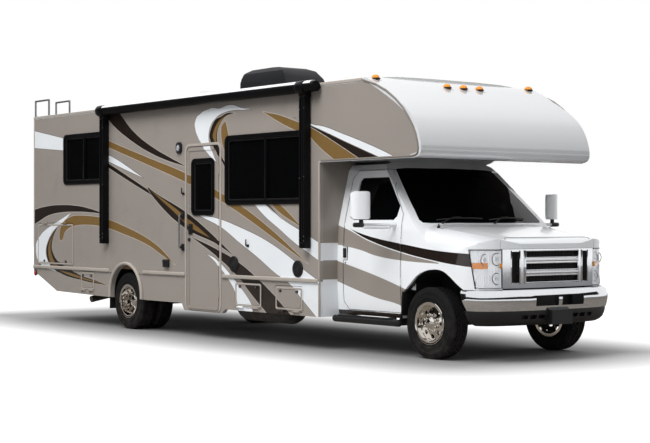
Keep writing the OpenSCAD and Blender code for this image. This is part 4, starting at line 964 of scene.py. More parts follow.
    def plate(
        self, outline: Sequence[Flat], y0: float, y1: float, soft: float = 0.0, hole: Sequence[Flat] = ()
    ) -> Shape:
        """Adds a plate cut to an outline of x and z, with an opening if one is given.

        Args:
            outline: Corners as x and z.
            y0: First face's y.
            y1: Second face's y.
            soft: Rounding of its sharp edges.
            hole: Corners of an opening, as many as the outline's.

        Returns:
            This shape.
        """
        part = bmesh.new()
        outer = [part.verts.new(at(x, y0, z)) for x, z in outline]
        if hole:
            inner = [part.verts.new(at(x, y0, z)) for x, z in hole]
            loops = (outer, inner)
            edges = [part.edges.new((loop[i - 1], loop[i])) for loop in loops for i in range(len(loop))]
            bmesh.ops.bridge_loops(part, edges=edges)
        else:
            part.faces.new(outer)
        return self.thicken(part, (0, (y1 - y0) / MM, 0), soft)

    def thicken(self, part: bmesh.types.BMesh, way: Point, soft: float) -> Shape:
        """Makes flat faces a solid and takes it into the piece.

        Args:
            part: The faces, whose mesh is freed.
            way: Where the far side lies from them, in metres.
            soft: Rounding of the sharp edges.

        Returns:
            This shape.
        """
        out = bmesh.ops.extrude_face_region(part, geom=part.faces[:], use_keep_orig=True)
        moved = [v for v in out["geom"] if isinstance(v, bmesh.types.BMVert)]
        bmesh.ops.translate(part, vec=way, verts=moved)
        bmesh.ops.recalc_face_normals(part, faces=part.faces)
        self.soften(part, soft, 2, 0.7)
        return self.join(part)

    def rail(self, section: Sequence[Flat], x0: float, x1: float, soft: float = 0.0) -> Shape:
        """Adds a bar along x with a section of y and z.

        Args:
            section: Corners as y and z.
            x0: First end.
            x1: Second end.
            soft: Rounding of its sharp edges.

        Returns:
            This shape.
        """
        part = bmesh.new()
        part.faces.new([part.verts.new(at(x0, y, z)) for y, z in section])
        return self.thicken(part, ((x1 - x0) / MM, 0, 0), soft)

    def plate_x(self, outline: Sequence[Flat], x0: float, x1: float) -> Shape:
        """Adds a plate that faces along x, cut to an outline of y and z, and returns the shape."""
        return self.rail(outline, x0, x1, 1.0)

    def tube(self, path: Sequence[Point], radius: float, sides: int = 12) -> Shape:
        """Adds a bent round bar that follows a path.

        Args:
            path: Points along its middle.
            radius: Radius of the bar.
            sides: Faces round it.

        Returns:
            This shape.
        """
        spots = [at(*p) for p in path]
        ways = [(b - a).normalized() for a, b in zip(spots, spots[1:])]
        part = bmesh.new()
        bmesh.ops.create_circle(part, cap_ends=True, segments=sides, radius=radius / MM)
        turn = Vector((0, 0, 1)).rotation_difference(ways[0]).to_matrix().to_4x4()
        bmesh.ops.transform(part, matrix=Matrix.Translation(spots[0]) @ turn, verts=part.verts)
        face = part.faces[:]
        for i in range(1, len(spots)):
            tangent = (ways[i - 1] + ways[min(i, len(ways) - 1)]).normalized()
            out = bmesh.ops.extrude_face_region(part, geom=face, use_keep_orig=i == 1)
            face = [f for f in out["geom"] if isinstance(f, bmesh.types.BMFace)]
            verts = face[0].verts[:]
            before = (ways[max(0, i - 2)] + ways[i - 1]).normalized() if i > 1 else ways[0]
            swing = before.rotation_difference(tangent).to_matrix().to_4x4()
            move = Matrix.Translation(spots[i]) @ swing @ Matrix.Translation(-spots[i - 1])
            bmesh.ops.transform(part, matrix=move, verts=verts)
        return self.join(part)

    def both_sides(self) -> Shape:
        """Adds the mirror image of all of it on the other side of the vehicle, and returns the shape."""
        twin = self.bm.copy()
        flip_side(twin)
        return self.absorb(twin)

    def done(self, name: str, body: str, smooth: float = 35.0) -> bpy.types.Object:
        """Makes the piece an object that rides on a body.

        Args:
            name: Name of the piece.
            body: Body that it moves with.
            smooth: Edges with a larger angle than this, in degrees, stay sharp.

        Returns:
            The new object.
        """
        mesh = to_mesh(self.bm, name)
        for finish in self.finishes:
            mesh.materials.append(finish.material())
        mesh.shade_smooth()
        mesh.set_sharp_from_angle(angle=math.radians(smooth))
        piece = link(name, mesh)
        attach(piece, body)
        LOG.info("%s: %d faces, on %s", name, len(mesh.polygons), body)
        return piece


def round_rect(x0: float, z0: float, x1: float, z1: float, r: float, steps: int = 5) -> list[Flat]:
    """Gives the outline of a rectangle with round corners.

    Args:
        x0: Lowest x.
        z0: Lowest z.
        x1: Highest x.
        z1: Highest z.
        r: Corner radius.
        steps: Points in each corner less one.

    Returns:
        Corner points in order.
    """
    middles = ((x1 - r, z1 - r, 0), (x0 + r, z1 - r, 90), (x0 + r, z0 + r, 180), (x1 - r, z0 + r, 270))
    turns = [(x, z, math.radians(a + 90 * i / steps)) for x, z, a in middles for i in range(steps + 1)]
    return [(x + r * math.cos(a), z + r * math.sin(a)) for x, z, a in turns]


def inset(pane: Oblong, by: float, r: float) -> list[Flat]:
    """Gives the outline of an opening drawn in by a margin.

    Args:
        pane: Lowest x and z and highest x and z of the opening.
        by: The margin, below 0 to draw it out.
        r: Corner radius.

    Returns:
        Corner points in order.
    """
    x0, z0, x1, z1 = pane
    return round_rect(x0 + by, z0 + by, x1 - by, z1 - by, r)


def ring(middle: Flat, r: float, start: int, end: int, step: int) -> list[Flat]:
    """Gives points on an arc.

    Args:
        middle: Middle of the arc.
        r: Radius of the arc.
        start: First bearing in degrees.
        end: Bearing in degrees that the arc stops before.
        step: Degrees from point to point.

    Returns:
        The points in order.
    """
    turns = [math.radians(d) for d in range(start, end, step)]
    return [(middle[0] + r * math.cos(a), middle[1] + r * math.sin(a)) for a in turns]


@dataclass
class Seats:
    """Two cab seats: pads swollen by cloth simulation, with sewn channels and piping, on pedestals."""

    x: float = -1310.0
    y: float = 430.0
    z: float = 930.0
    half: float = 243.0
    voxel: float = 14.0
    cap: float = 22.0
    frames: int = 20
    pressure: float = 4.0
    channels: tuple[float, ...] = (-150.0, -75.0, 0.0, 75.0, 150.0)
    channel: float = 7.0
    foot: float = 740.0
    cushion: tuple[Flat, ...] = (
        (14, 8), (500, 8), (522, 34), (524, 66), (506, 122), (470, 126), (150, 106), (24, 112),
    )
    back: tuple[Flat, ...] = ((112, 130), (2, 656), (-24, 694), (-66, 698), (-88, 670), (-4, 180), (26, 136))
    rest: tuple[Flat, ...] = ((-16, 722), (-72, 724), (-88, 850), (-72, 872), (-36, 870), (-18, 846))

    def blank(self, name: str, outline: Sequence[Flat], half: float) -> bpy.types.Object:
        """Cuts the start form of one pad, slightly smaller than the finished pad.

        Args:
            name: Name of the pad.
            outline: Its side outline from the foot of the seat's back.
            half: Half its width.

        Returns:
            An object with an even mesh.
        """
        form = Shape(Palette.seat_cloth)
        form.plate([(self.x + a, self.z + b) for a, b in outline], self.y - half, self.y + half, 26)
        pad = link(name, to_mesh(form.bm, name))
        even = pad.modifiers.new("even", "REMESH")
        even.mode = "VOXEL"
        even.voxel_size = self.voxel / MM
        self.bake(pad)
        return pad

    @staticmethod
    def bake(pad: bpy.types.Object) -> None:
        """Puts the result of a pad's modifiers in its mesh and takes them off."""
        deps = bpy.context.evaluated_depsgraph_get()
        fresh = bpy.data.meshes.new_from_object(pad.evaluated_get(deps))
        pad.modifiers.clear()
        pad.data = fresh

    def swell(self, pad: bpy.types.Object) -> None:
        """Swells a pad by simulated pressure, and caps how far each point moves.

        Args:
            pad: The pad's object.
        """
        before = [v.co.copy() for v in pad.data.vertices]
        cloth = pad.modifiers.new("swell", "CLOTH")
        cloth.settings.use_pressure = True
        cloth.settings.uniform_pressure_force = self.pressure
        cloth.settings.effector_weights.gravity = 0.0
        cloth.point_cache.frame_start = 1
        cloth.point_cache.frame_end = self.frames
        scene = bpy.context.scene
        for frame in range(1, self.frames + 1):
            scene.frame_set(frame)
        self.bake(pad)
        scene.frame_set(1)
        for vert, start in zip(pad.data.vertices, before):
            move = vert.co - start
            if move.length > self.cap / MM:
                vert.co = start + move.normalized() * (self.cap / MM)

    def sew(self, pad: bpy.types.Object, channels: Sequence[float]) -> None:
        """Presses sewn channels into a pad, after one subdivision.

        Args:
            pad: The pad's object.
            channels: Distance of each channel from the seat's middle.
        """
        fine = pad.modifiers.new("fine", "SUBSURF")
        fine.levels = fine.render_levels = 1
        self.bake(pad)
        pad.data.update()
        moves = []
        for vert in pad.data.vertices:
            off = vert.co.y * MM - self.y
            depth = sum(self.channel * math.exp(-((off - c) / self.channel) ** 2) for c in channels)
            facing = max(0.0, 1 - abs(vert.normal.y) * 1.6)
            moves.append(vert.normal * (-depth * facing / MM))
        for vert, move in zip(pad.data.vertices, moves):
            vert.co += move

    def piping(self, shape: Shape, pad: bpy.types.Object, outline: Sequence[Flat], half: float) -> None:
        """Adds the piping along both side edges of a pad.

        Args:
            shape: The piece in the making.
            pad: The finished pad.
            outline: The pad's side outline.
            half: Half its width.
        """
        ring = [*outline, outline[0]]
        for y in (self.y - half + 10, self.y + half - 10):
            path = []
            for (a, b), (c, d) in zip(ring, ring[1:]):
                for k in range(5):
                    spot = at(self.x + a + (c - a) * k / 5, y, self.z + b + (d - b) * k / 5)
                    path.append(back(pad.closest_point_on_mesh(spot)[1]))
            shape.tube([*path, path[0]], 4.0, 8)

    def pedestal(self) -> None:
        """Builds the plastic pedestals with their slides, and the levers and hinge covers."""
        shape = Shape(Palette.plastic)
        x, y, low = self.x, self.y, self.foot
        shape.box((x + 60, y - 190, low), (x + 440, y + 190, low + 130), 20, 3)
        shape.use(Palette.frame)
        for k in (-150, 150):
            shape.box((x + 20, y + k - 18, low + 128), (x + 480, y + k + 18, low + 160), 4)
            shape.box((x + 40, y + k - 26, low + 158), (x + 470, y + k + 26, low + 194), 6)
        shape.use(Palette.plastic)
        for k in (-1, 1):
            a, b = sorted((y + k * 232, y + k * 254))
            shape.rod((x + 70, a, self.z + 96), (x + 70, b, self.z + 96), 58, 50, 28, 5)
        shape.box((x + 200, y + 226, self.z + 14), (x + 330, y + 252, self.z + 38), 10, 3)
        for k in (-56, 56):
            shape.use(Palette.alloy)
            shape.rod((x - 30, y + k, self.z + 690), (x - 42, y + k, self.z + 740), 7, 7, 14)
        shape.both_sides()
        piece = shape.done("seat_pedestals", "coach")
        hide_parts("cab_seats")

    def build(self) -> None:
        """Builds the pads of the left seat, mirrors them to the right one and adds the rest."""
        seams = Shape(Palette.piping)
        rows = (
            ("seat_cushion", self.cushion, self.half, self.channels),
            ("seat_backrest", self.back, self.half - 6, self.channels),
            ("seat_headrest", self.rest, 112.0, ()),
        )
        for name, outline, half, channels in rows:
            pad = self.blank(name + "_left", outline, half)
            self.swell(pad)
            self.sew(pad, channels)
            self.piping(seams, pad, outline, half)
            twin = link(name + "_right", pad.data.copy())
            flipped = bmesh.new()
            flipped.from_mesh(twin.data)
            flip_side(flipped)
            flipped.to_mesh(twin.data)
            flipped.free()
            for piece in (pad, twin):
                piece.data.materials.clear()
                piece.data.materials.append(Palette.seat_cloth.material())
                piece.data.shade_smooth()
                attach(piece, "coach")
        seams.both_sides()
        seams.done("seat_piping", "coach")
        self.pedestal()


@dataclass
class Tyres:
    """The six tyres, with grooves, tread blocks and sidewall lines."""

    radius: float = 372.0
    rear_gap: float = 265.0
    groove: float = 9.0
    steps: int = 168
    ribs: tuple[Flat, ...] = ((80.3, 57.0), (46.0, 24.0))
    half: tuple[Flat, ...] = (
        (203, 84.7), (206, 92), (214, 97), (237, 104.8), (258, 109), (260, 110.6), (265, 110.8), (267, 109.8),
        (287.5, 111.4), (315, 110), (317, 111.2), (322, 110.8), (324, 109.2), (346, 104.8), (358, 98.5),
        (365, 93.7), (369, 88), (372, 80.3), (372, 57), (363, 55), (363, 48), (372, 46), (372, 24), (363, 22),
        (363, 15), (372, 13),
    )

    def tread(self, shape: Shape, middle: Point, side: Side) -> None:
        """Adds one tyre.

        Args:
            shape: Piece that takes it.
            middle: Middle of the tyre.
            side: Side of the vehicle.
        """
        profile = list(self.half) + [(r, -w) for r, w in reversed(self.half)]
        part = Shape.turned(profile, middle, side, self.steps, True)
        centre = at(*middle)
        crown = (self.radius - 0.5) / MM
        cut = []
        for face in part.faces:
            spot = face.calc_center_median() - centre
            across = abs(spot.y) * MM
            turn = int(round(math.atan2(spot.x, spot.z) / (2 * math.pi) * self.steps - 0.5))
            on_crown = math.hypot(spot.x, spot.z) > crown - 0.001
            for rib, (outer, inner) in enumerate(self.ribs):
                if on_crown and inner < across < outer and (turn + 2 * rib) % 4 == 0:
                    cut.append(face)
        out = bmesh.ops.extrude_discrete_faces(part, faces=cut)
        for vert in {v for f in out["faces"] for v in f.verts}:
            away = Vector((vert.co.x - centre.x, 0, vert.co.z - centre.z))
            vert.co -= away.normalized() * (self.groove - 2) / MM
        shape.join(part, outward=False)

    def build(self) -> None:
        """Builds the tyres and puts each in the place of its plain solid."""
        for side in Side:
            end = side.name.lower()
            front = Shape(Palette.rubber)
            self.tread(front, (0, side.value * FRONT_Y, AXLE_Z), side)
            tyre = front.done(f"treaded_tyre_front_{end}", f"front_wheel_{end}", 50)
            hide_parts(f"tyre_front_{end}")
            rear = Shape(Palette.rubber)
            for gap in (0.0, self.rear_gap):
                self.tread(rear, (REAR_X, side.value * (REAR_Y - gap), AXLE_Z), side)
            tyres = rear.done(f"treaded_tyres_rear_{end}", f"rear_wheels_{end}", 50)
            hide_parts(f"tyres_rear_{end}")


@dataclass
class WheelTrim:
    """Lug covers, hub caps, valve stems and rim beads on the wheels."""

    lugs: int = 8
    lug_ring: float = 88.0
    lug_r: float = 15.0
    front_face: float = 74.0
    rear_face: float = -118.0
    bead: tuple[Flat, ...] = ((208, 102), (222, 105), (224, 109), (218, 111.5), (206, 108))
    bowl: tuple[Flat, ...] = ((180, 44), (190, 50), (203, 96), (208, 103), (203, 104), (186, 54))
    front_cap: tuple[Flat, ...] = (
        (60, 40), (63, 46), (62, 60), (54, 66), (50, 74), (46, 78), (24, 84), (0, 86),
    )
    rear_cap: tuple[Flat, ...] = ((70, 10), (76, 14), (75, 30), (66, 38), (58, 41), (30, 46), (0, 47))

    def lug_circle(self, shape: Shape, middle: Point, side: Side, face: float, height: float) -> None:
        """Adds a ring of domed lug covers.

        Args:
            shape: Piece that takes them.
            middle: Middle of the wheel.
            side: Side of the vehicle.
            face: Distance outwards of the face that they stand on.
            height: How far they stand out.
        """
        x, y, z = middle
        r = self.lug_r
        foot = ((r + 4, -4), (r + 4, 3), (r, 5), (r, height - 10))
        dome = (*foot, (r * 0.72, height - 3), (r * 0.3, height), (0, height))
        for i in range(self.lugs):
            turn = 2 * math.pi * (i + 0.5) / self.lugs
            cx, cz = x + self.lug_ring * math.cos(turn), z + self.lug_ring * math.sin(turn)
            shape.lathe(dome, (cx, y + side.value * face, cz), side, 12, False)

    def build(self) -> None:
        """Builds the trim of the four wheel ends."""
        for side in Side:
            end = side.name.lower()
            middle = (0.0, side.value * FRONT_Y, AXLE_Z)
            trim = Shape(Palette.steel)
            self.lug_circle(trim, middle, side, self.front_face, 34)
            hub = (0, side.value * (FRONT_Y + self.front_face - 40), AXLE_Z)
            trim.lathe(self.front_cap, hub, side, 40, False)
            trim.lathe(self.bead, middle, side, 72)
            trim.lathe(self.bowl, middle, side, 72)
            valve = (150.0, side.value * (FRONT_Y + 60), AXLE_Z + 90)
            tip = (158.0, side.value * (FRONT_Y + 92), AXLE_Z + 95)
            trim.use(Palette.plastic).rod(valve, tip, 5, 4, 10)
            trim.done(f"wheel_trim_front_{end}", f"front_wheel_{end}")
            hub = (REAR_X, side.value * REAR_Y, AXLE_Z)
            rear = Shape(Palette.steel)
            self.lug_circle(rear, hub, side, self.rear_face, 40)
            rear.lathe(self.bead, hub, side, 72)
            rear.lathe(self.rear_cap, hub, side, 40, False)
            rear.done(f"wheel_trim_rear_{end}", f"rear_wheels_{end}")


@dataclass
class HouseWindows:
    """Black frames, sliding bars and seals round the house windows."""

    wall: float = WALL_Y
    rim: float = 26.0
    stand: float = 18.0
    panes: tuple[Oblong, ...] = ((-7356, 1963, -6250, 2610), (-3306, 1645, -1720, 2415))
    door_pane: Oblong = (-4042, 1523, -3594, 2165)

    def frame(self, shape: Shape, pane: Oblong, side: Side, slider: bool) -> None:
        """Adds the frame of one window.

        Args:
            shape: Piece that takes it.
            pane: Lowest x and z and highest x and z of the opening.
            side: Side of the vehicle.
            slider: Whether a bar parts the panes.
        """
        x0, z0, x1, z1 = pane
        rim, s, wall = self.rim, side.value, self.wall
        shape.use(Palette.satin)
        outer, hole = inset(pane, -rim - 3, 74), inset(pane, rim, 24)
        shape.plate(outer, s * (wall + 1), s * (wall + self.stand), 6, hole)
        shape.use(Palette.plastic)
        shape.plate(inset(pane, rim + 1, 24), s * (wall - 22), s * (wall + 6), 2, inset(pane, rim + 15, 16))
        if slider:
            mid = (x0 + x1) / 2
            shape.use(Palette.satin)
            shape.side_box(s, (mid - 17, wall - 24, z0 + rim), (mid + 17, wall + 9, z1 - rim), 4)

    def build(self) -> None:
        """Builds the frames of both sides and of the entry door."""
        for side in Side:
            shape = Shape(Palette.satin)
            for pane in self.panes:
                self.frame(shape, pane, side, True)
            shape.done(f"window_frames_{side.name.lower()}", "coach")
        door = Shape(Palette.satin)
        self.frame(door, self.door_pane, Side.RIGHT, False)
        door.done("entry_window_frame", "entry_door")


@dataclass
class Mouldings:
    """Belt rail, arch mouldings, corner and roof edge trims and the seam round the overcab."""

    wall: float = WALL_Y
    belt_z: tuple[float, float] = (741.0, 789.0)
    belt_right: tuple[Flat, ...] = ((-8292, -6100), (-5228, -4218), (-3388, -1512))
    belt_left: tuple[Flat, ...] = ((-8292, -6100), (-5228, -1512))
    arch_r: float = 410.0
    arch_z: float = 460.0
    arch_foot: float = 412.0
    corners: tuple[Point, ...] = ((-8300.0, 705.0, 2912.0), (-1518.0, 372.0, 2080.0))
    seam: tuple[Flat, ...] = (
        (-1470, 2089), (30, 2089), (96, 2099), (126, 2120), (134, 2166), (124, 2228), (100, 2304), (58, 2390),
        (-8, 2482), (-100, 2590), (-220, 2690), (-370, 2786), (-540, 2862), (-763, 2926),
    )

    def build(self) -> None:
        """Builds the mouldings of both sides."""
        for side in Side:
            s, end = side.value, side.name.lower()
            shape = Shape(Palette.trim)
            for x0, x1 in self.belt_right if side is Side.RIGHT else self.belt_left:
                low, high = (x0, self.wall - 4, self.belt_z[0]), (x1, self.wall + 25, self.belt_z[1])
                shape.side_box(s, low, high, 16, 4)
            arch = ring((REAR_X, self.arch_z), self.arch_r, 0, 181, 9)
            arch = [(REAR_X + self.arch_r, self.arch_foot), *arch, (REAR_X - self.arch_r, self.arch_foot)]
            shape.tube([(x, s * (self.wall + 12), z) for x, z in arch], 23, 14)
            shape.side_box(s, (-8304, self.wall - 3, 2912), (-763, self.wall + 7, 2946), 4)
            for x, low_z, high_z in self.corners:
                shape.side_box(s, (x - 3, self.wall - 14, low_z), (x + 22, self.wall + 5, high_z), 4)
            shape.use(Palette.seam).tube([(x, s * (self.wall + 1), z) for x, z in self.seam], 11, 10)
            shape.done(f"mouldings_{end}", "coach")


@dataclass
class Hatches:
    """Frames and latches on the six storage hatches."""

    wall: float = WALL_Y
    table: tuple[tuple[str, Oblong, bool, Side], ...] = (
        ("hatch_right_rear", (-8180, 800, -7106, 1395), True, Side.RIGHT),
        ("hatch_right_mid", (-6900, 475, -6511, 732), False, Side.RIGHT),
        ("hatch_right_front", (-3130, 408, -2584, 710), False, Side.RIGHT),
        ("hatch_right_step", (-2325, 408, -1799, 690), False, Side.RIGHT),
        ("hatch_left_rear", (-8180, 800, -7106, 1395), True, Side.LEFT),
        ("hatch_left_front", (-3130, 408, -2584, 710), False, Side.LEFT),
    )

    def build(self) -> None:
        """Builds the trim of every hatch."""
        wall = self.wall
        for body, pane, top_hinge, side in self.table:
            s = side.value
            x0, z0, x1, z1 = pane
            shape = Shape(Palette.trim)
            shape.plate(inset(pane, 13, 26), s * (wall - 2), s * (wall + 7), 3, inset(pane, 34, 18))
            latch_z = z0 + 56 if top_hinge else z1 - 56
            for share in (0.2, 0.8):
                x = x0 + share * (x1 - x0)
                shape.use(Palette.plastic)
                shape.side_box(s, (x - 24, wall + 3, latch_z - 14), (x + 24, wall + 14, latch_z + 14), 5)
                shape.use(Palette.alloy)
                shape.side_box(s, (x - 9, wall + 12, latch_z - 7), (x + 9, wall + 18, latch_z + 7), 2.5)
            shape.done(f"{body}_trim", body)


@dataclass
class EntryFittings:
    """Door surround, latch, lock, grab bar and the small fittings near the entry."""

    wall: float = -WALL_Y
    door: Oblong = (-4180, 330, -3460, 2340)
    bar_x: float = -4264.0

    def build(self) -> None:
        """Builds the fittings on the wall and on the door."""
        y = self.wall
        x0, z0, x1, z1 = self.door
        wall = Shape(Palette.trim)
        outer = round_rect(x0 - 40, z0 - 8, x1 + 40, z1 + 40, 90)
        wall.plate(outer, y + 3, y - 9, 3, round_rect(x0 - 8, z0 - 6, x1 + 8, z1 + 8, 64))
        wall.done("entry_surround", "coach")
        latch = Shape(Palette.plastic)
        latch.box((-4132, y - 20, 1262), (-4040, y + 2, 1392), 14, 3)
        latch.box((-4112, y - 34, 1290), (-4058, y - 16, 1372), 8, 3)
        latch.rod((-4122, y + 2, 1196), (-4122, y - 22, 1196), 21, 17, 20, 3)
        latch.use(Palette.alloy).rod((-4122, y - 20, 1196), (-4122, y - 25, 1196), 9, 8, 14)
        latch.done("entry_latch", "entry_door")
        bar = Shape(Palette.plastic)
        for z in (1100.0, 1488.0):
            bar.box((-4292, y - 26, z - 44), (-4238, y + 2, z + 44), 16, 3)
            bar.rod((self.bar_x, y - 12, z), (self.bar_x, y - 60, z), 17, 14, 16, 3)
        bow = ((56, 1084), (62, 1110), (66, 1200), (68, 1294), (66, 1388), (62, 1478), (56, 1504))
        bar.use(Palette.alloy).tube([(self.bar_x, y - off, z) for off, z in bow], 12, 12)
        bar.done("grab_bar", "coach")
        lamp = Shape(Palette.plastic)
        lamp.plate(round_rect(-4412, 2268, -4288, 2412, 52, 8), y + 2, y - 26, 8)
        lamp.use(Palette.lens).ball((-4350, y - 26, 2336), (44, 26, 50), 24)
        lamp.use(Palette.alloy).ball((-4350, y - 22, 2336), (26, 10, 30), 16)
        lamp.done("porch_lamp", "coach")
        small = Shape(Palette.plastic)
        for x, z in ((-4262.0, 1790.0), (-2868.0, 1160.0)):
            small.box((x - 26, y - 8, z - 40), (x + 26, y + 2, z - 8), 4)
            small.rod((x, y, z - 22), (x, y - 34, z - 18), 9, 7, 12)
            small.rod((x, y - 30, z - 26), (x, y - 30, z + 52), 9, 7, 12, 3)
        small.box((-4700, y - 42, 842), (-4584, y + 2, 940), 12, 3)
        small.box((-4690, y - 50, 896), (-4594, y - 38, 934), 5)
        small.done("wall_fittings", "coach")


@dataclass
class Speakers:
    """Round outside speakers in the curb side wall."""

    wall: float = -WALL_Y
    places: tuple[Flat, ...] = ((-3154, 916), (-1891, 890))
    radius: float = 95.0

    def build(self) -> None:
        """Builds the speakers with their ringed covers."""
        shape = Shape(Palette.plastic)
        edge = self.radius
        rim = ((edge, -2), (edge, 9), (edge - 6, 14), (edge - 16, 12), (edge - 18, 5), (0, 5), (0, -2))
        for x, z in self.places:
            shape.use(Palette.plastic).lathe(rim, (x, self.wall, z), Side.RIGHT, 40)
            for r in (70.0, 56.0, 42.0, 28.0, 14.0):
                ridge = ((r - 4, 4), (r + 4, 4), (r + 2, 12), (r - 2, 12))
                shape.use(Palette.grille_cloth).lathe(ridge, (x, self.wall, z), Side.RIGHT, 32)
            for k in range(6):
                t = math.pi * k / 6
                dx, dz = 76 * math.cos(t), 76 * math.sin(t)
                shape.rod((x - dx, self.wall - 9, z - dz), (x + dx, self.wall - 9, z + dz), 3, 3, 8)
        shape.done("speakers", "coach")


class Solids:
    """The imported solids, for finding points on their faces."""

    nodes: dict[str, bpy.types.Object] = {}

    @classmethod
    def touch(cls, node: str, start: Point, way: Point) -> Point:
        """Finds where a straight line first meets a solid.

        Args:
            node: Name of the solid.
            start: Where the line starts.
            way: Direction of the line.

        Returns:
            The point met, or the start if there is none.
        """
        found, place, _, _ = cls.nodes[node].ray_cast(at(*start), Vector(way).normalized())
        return back(place) if found else start


@dataclass
class AwningTrim:
    """Roll cover, end castings and channel lips of the awning."""

    roll: Flat = (-1341.5, 2905.0)
    roll_r: float = 60.0
    span: Flat = (-6215.0, -1455.0)
    arms: tuple[float, ...] = (-6205.0, -1745.0)
    arm_w: float = 100.0
    arm_face: float = -1348.5
    arm_z: Flat = (1130.0, 2880.0)
    bolts: tuple[float, ...] = (1190.0, 1240.0, 1900.0, 2660.0, 2790.0)

    def build(self) -> None:
        """Builds the awning's trim."""
        y, z = self.roll
        shape = Shape(Palette.awning_cloth)
        shape.rail(ring(self.roll, self.roll_r + 3, 0, 360, 15), self.span[0] + 60, self.span[1] - 60)
        outer, inner = (ring(self.roll, self.roll_r + out, 40, 151, 10) for out in (9, 3))
        shape.use(Palette.white_plastic).rail(outer + inner[::-1], self.span[0] + 40, self.span[1] - 40)
        near, far = self.arm_face, self.arm_face - 9
        low, high = self.arm_z
        for x in self.arms:
            end = x + self.arm_w
            for edge in (x, end - 22):
                shape.use(Palette.satin).box((edge, far, low + 10), (edge + 22, near + 4, high), 4)
            shape.box((x + 34, far + 3, low + 60), (x + 66, near + 4, high - 60), 5)
            for spot in self.bolts:
                shape.use(Palette.alloy).rod((x + 11, far + 2, spot), (x + 11, far - 3, spot), 8, 7, 12)
                shape.rod((x + 89, far + 2, spot + 18), (x + 89, far - 3, spot + 18), 8, 7, 12)
            shape.use(Palette.satin).box((x - 12, near - 16, 2790), (end + 12, -1258, 2968), 26, 4)
            shape.rod((x - 26, y, z), (end + 26, y, z), 74, 74, 32, 10)
            shape.rod((x - 40, y, z), (end + 40, y, z), 34, 34, 24, 6)
            shape.box((x + 6, near - 14, low - 6), (end - 6, -1262, low + 56), 10, 3)
        shape.done("awning_trim", "coach")


@dataclass
class Lamps:
    """Clearance, tail and side marker lamps."""

    top: tuple[Flat, ...] = ((-675, -1150), (-545, -243), (-545, 0), (-545, 243), (-675, 1150))
    rear_y: tuple[float, ...] = (-1080.0, -270.0, 0.0, 270.0, 1080.0)
    rear_x: float = -8300.0
    tail_y: float = 1090.0
    marker: Flat = (-8246.0, 676.0)
    marker_rim: tuple[Flat, ...] = ((44, -2), (44, 7), (38, 10), (0, 10))

    def build(self) -> None:
        """Builds the lamps on the cap and at the rear."""
        amber = Shape(Palette.amber)
        for x, y in self.top:
            _, _, z = Solids.touch("overcab_cap", (x, y, 4000), (0, 0, -1))
            amber.use(Palette.grey).ball((x, y, z - 4), (74, 44, 16), 20)
            amber.use(Palette.amber).ball((x + 4, y, z + 6), (58, 32, 38), 20)
        amber.done("clearance_lamps", "coach")
        red = Shape(Palette.red)
        x = self.rear_x
        for y in self.rear_y:
            red.use(Palette.red).ball((x - 2, y, 2858), (22, 58, 24), 18)
        for side in reversed(Side):
            s = side.value
            y = s * self.tail_y
            red.use(Palette.plastic).box((x - 14, y - 74, 872), (x + 4, y + 74, 1192), 10, 3)
            red.use(Palette.red).box((x - 36, y - 62, 1010), (x - 6, y + 62, 1180), 14, 3)
            for finish, low, high in ((Palette.lens, 940, 1004), (Palette.amber, 884, 934)):
                red.use(finish).box((x - 34, y - 62, low), (x - 6, y + 62, high), 12, 3)
            mark_x, mark_z = self.marker
            red.use(Palette.plastic).lathe(self.marker_rim, (mark_x, s * WALL_Y, mark_z), side, 28, False)
            red.use(Palette.red).ball((mark_x, s * (WALL_Y + 8), mark_z), (33, 14, 33), 20)
        red.use(Palette.red).box((x - 20, -190, 2772), (x + 2, 190, 2806), 8)
        red.use(Palette.white_plastic).box((x - 8, 398, 900), (x + 2, 702, 1052), 3)
        red.use(Palette.plastic).box((x - 34, 480, 1060), (x + 2, 620, 1086), 8)
        red.done("rear_lamps", "coach")


@dataclass
class RoofGear:
    """Slots and base of the air conditioner and the rims of the vents."""

    unit_x: float = -3880.0
    unit_half: float = 310.0
    crown: float = 2990.0
    slots: int = 13
    vents: tuple[Point, ...] = ((-5700.0, 230.0, 260.0), (-2300.0, 190.0, 190.0))

    def build(self) -> None:
        """Builds what sits on the roof equipment."""
        shape = Shape(Palette.dark_void)
        wide = self.unit_half
        # The slots are near-black boxes: painted shade for the dark inside the louvres.
        for s in (-1, 1):
            for k in range(self.slots):
                x = self.unit_x - 450 + 30 * k
                low, high = (x, wide - 30, self.crown + 60), (x + 13, wide + 2, self.crown + 205)
                shape.side_box(s, low, high, 2)
        low = (self.unit_x - 500, -wide - 14, self.crown - 20)
        high = (self.unit_x + 516, wide + 14, self.crown + 26)
        shape.use(Palette.plastic).box(low, high, 8)
        for x, half, long in self.vents:
            low = (x - long - 26, -half - 26, self.crown - 30)
            high = (x + long + 26, half + 26, self.crown + 16)
            shape.use(Palette.white_plastic).box(low, high, 6)
        shape.done("roof_fittings", "coach")


